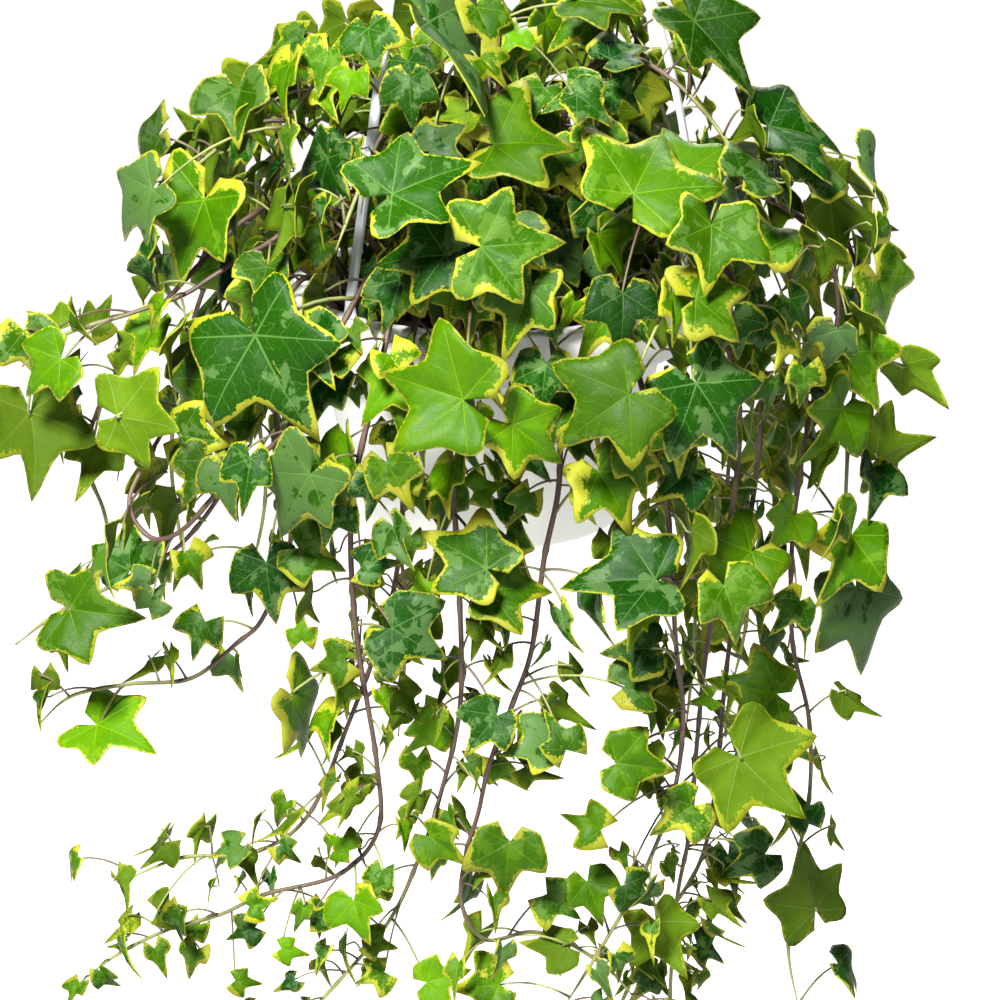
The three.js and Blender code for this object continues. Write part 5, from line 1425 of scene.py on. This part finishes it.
slanted = node(tree, "Math", [along, slant], operation="SUBTRACT")
counted = node(tree, "Math", [slanted, SIDE_VEINS], operation="MULTIPLY")
wander = node(tree, "Math", [fine, SIDE_WANDER], operation="MULTIPLY")
comb = node(tree, "Math", [counted, wander], operation="ADD")
comb = node(tree, "Math", [comb, 0.5], operation="PINGPONG")
side_vein = node(tree, "MapRange", {"Value": comb, "From Min": 0.06, "From Max": 0.0},
                 interpolation_type="SMOOTHSTEP")
net_vein = node(tree, "MapRange", {"Value": net, "From Min": 0.05, "From Max": 0.0},
                interpolation_type="SMOOTHSTEP")
side_vein = node(tree, "Math", [side_vein, 0.5], operation="MULTIPLY")
net_vein = node(tree, "Math", [net_vein, 0.2], operation="MULTIPLY")
vein = node(tree, "Math", [main_vein, side_vein], operation="MAXIMUM")
vein = node(tree, "Math", [vein, net_vein], operation="MAXIMUM")

# Grey-green patches: larger on some leaves, and more of them inside than near the edge
greyer = node(tree, "Math", [grey, 0.16], operation="MULTIPLY")
outer = node(tree, "Math", [edge, 0.012], operation="MULTIPLY")
patchy = node(tree, "Math", [patch, greyer], operation="ADD")
patchy = node(tree, "Math", [patchy, outer], operation="SUBTRACT")
patchy = node(tree, "MapRange", {"Value": patchy, "From Min": 0.555, "From Max": 0.6,
                                 "To Max": 0.8}, interpolation_type="SMOOTHSTEP")

# The margin: its width in mm varies along each flank, and its inner border is torn by the saw
flanks = node(tree, "MapRange", {"Value": flank, "From Min": 0.46, "From Max": 0.72,
                                 "To Min": 0.45, "To Max": 2.85},
              interpolation_type="SMOOTHSTEP")
width = node(tree, "Math", [margin, flanks], operation="MULTIPLY")
torn = node(tree, "Math", [saw, 0.5], operation="SUBTRACT")
deep = node(tree, "Math", [width, 2.2], operation="MULTIPLY")
deep = node(tree, "Math", [deep, 3.2], operation="ADD")
teeth = node(tree, "Math", [torn, deep], operation="MULTIPLY")
inward = node(tree, "Math", [edge, teeth], operation="ADD")
inside = node(tree, "Math", [width, inward], operation="SUBTRACT")
yellowed = node(tree, "MapRange", {"Value": inside, "From Min": -0.08, "From Max": 0.08},
                interpolation_type="SMOOTHSTEP")

# Each colour lies over the ones before it by its share. Over the upper face's bluish green: grass
# green where it is warm, lime where it is young, patches, veins, margin. Over the olive back:
# duller veins and a paler margin
veined = node(tree, "Math", [vein, 0.75], operation="MULTIPLY")
upper = tones["bluish"]
for share, tone in ((warm, "grass"), (young, "lime"), (patchy, "dusty"), (veined, "vein"),
                    (yellowed, "yellow")):
    upper = node(tree, "Mix", {SHARE: share, FIRST: upper, SECOND: tones[tone]},
                 data_type="RGBA")
dull_vein = node(tree, "Math", [vein, 0.45], operation="MULTIPLY")
dull_margin = node(tree, "Math", [yellowed, 0.7], operation="MULTIPLY")
lower = tones["back"]
for share, code in ((dull_vein, "#a4bc74"), (dull_margin, "#c2ca5a")):
    lower = node(tree, "Mix", {SHARE: share, FIRST: lower, SECOND: linear(code)},
                 data_type="RGBA")
body = node(tree, "Mix", {SHARE: back, FIRST: upper, SECOND: lower}, data_type="RGBA")
tone = node(tree, "MapRange", {"Value": shade, "To Min": 0.2, "To Max": 0.405})
toned = node(tree, "HueSaturation", {"Color": body, "Value": tone, "Saturation": 1.16})
gloss = node(tree, "MapRange", {"Value": back, "To Min": 0.45, "To Max": 0.7})
puckers = node(tree, "Math", [fine, 0.35], operation="MULTIPLY")
sunk = node(tree, "Math", [vein, 0.5], operation="MULTIPLY")
relief = node(tree, "Math", [puckers, sunk], operation="SUBTRACT")
bump = node(tree, "Bump", {"Height": relief, "Strength": 0.5, "Distance": 0.0006})
feed(tree, shader, {"Base Color": toned, "Roughness": gloss, "Specular IOR Level": 0.1,
                    "Normal": bump, "IOR": 1.45})

# Each leaf's own traits are drawn in order, and a stem's stalks and blades are one piece each
leaf_count = 0
for plant in plants:
    for leaf in plant["leaves"]:
        leaf_count += 1
        draw = drawer(LEAF_SEED + leaf_count)
        leaf["number"] = leaf_count
        leaf["waves"] = LEAST_WAVES + int(3 * draw())
        for trait in TRAITS:
            leaf[trait] = draw()
    name = f"ivy_{plant['name']}"
    stalks = [stalk_surface(leaf, plant) for leaf in plant["leaves"]]
    piece(f"{name}_stem", joined([stem_surface(plant), *stalks]), bark, "ivy", name)
    blades = [blade_surface(leaf) for leaf in plant["leaves"]]
    piece(f"{name}_blades", joined(blades), ivy_leaf, "ivy", name)
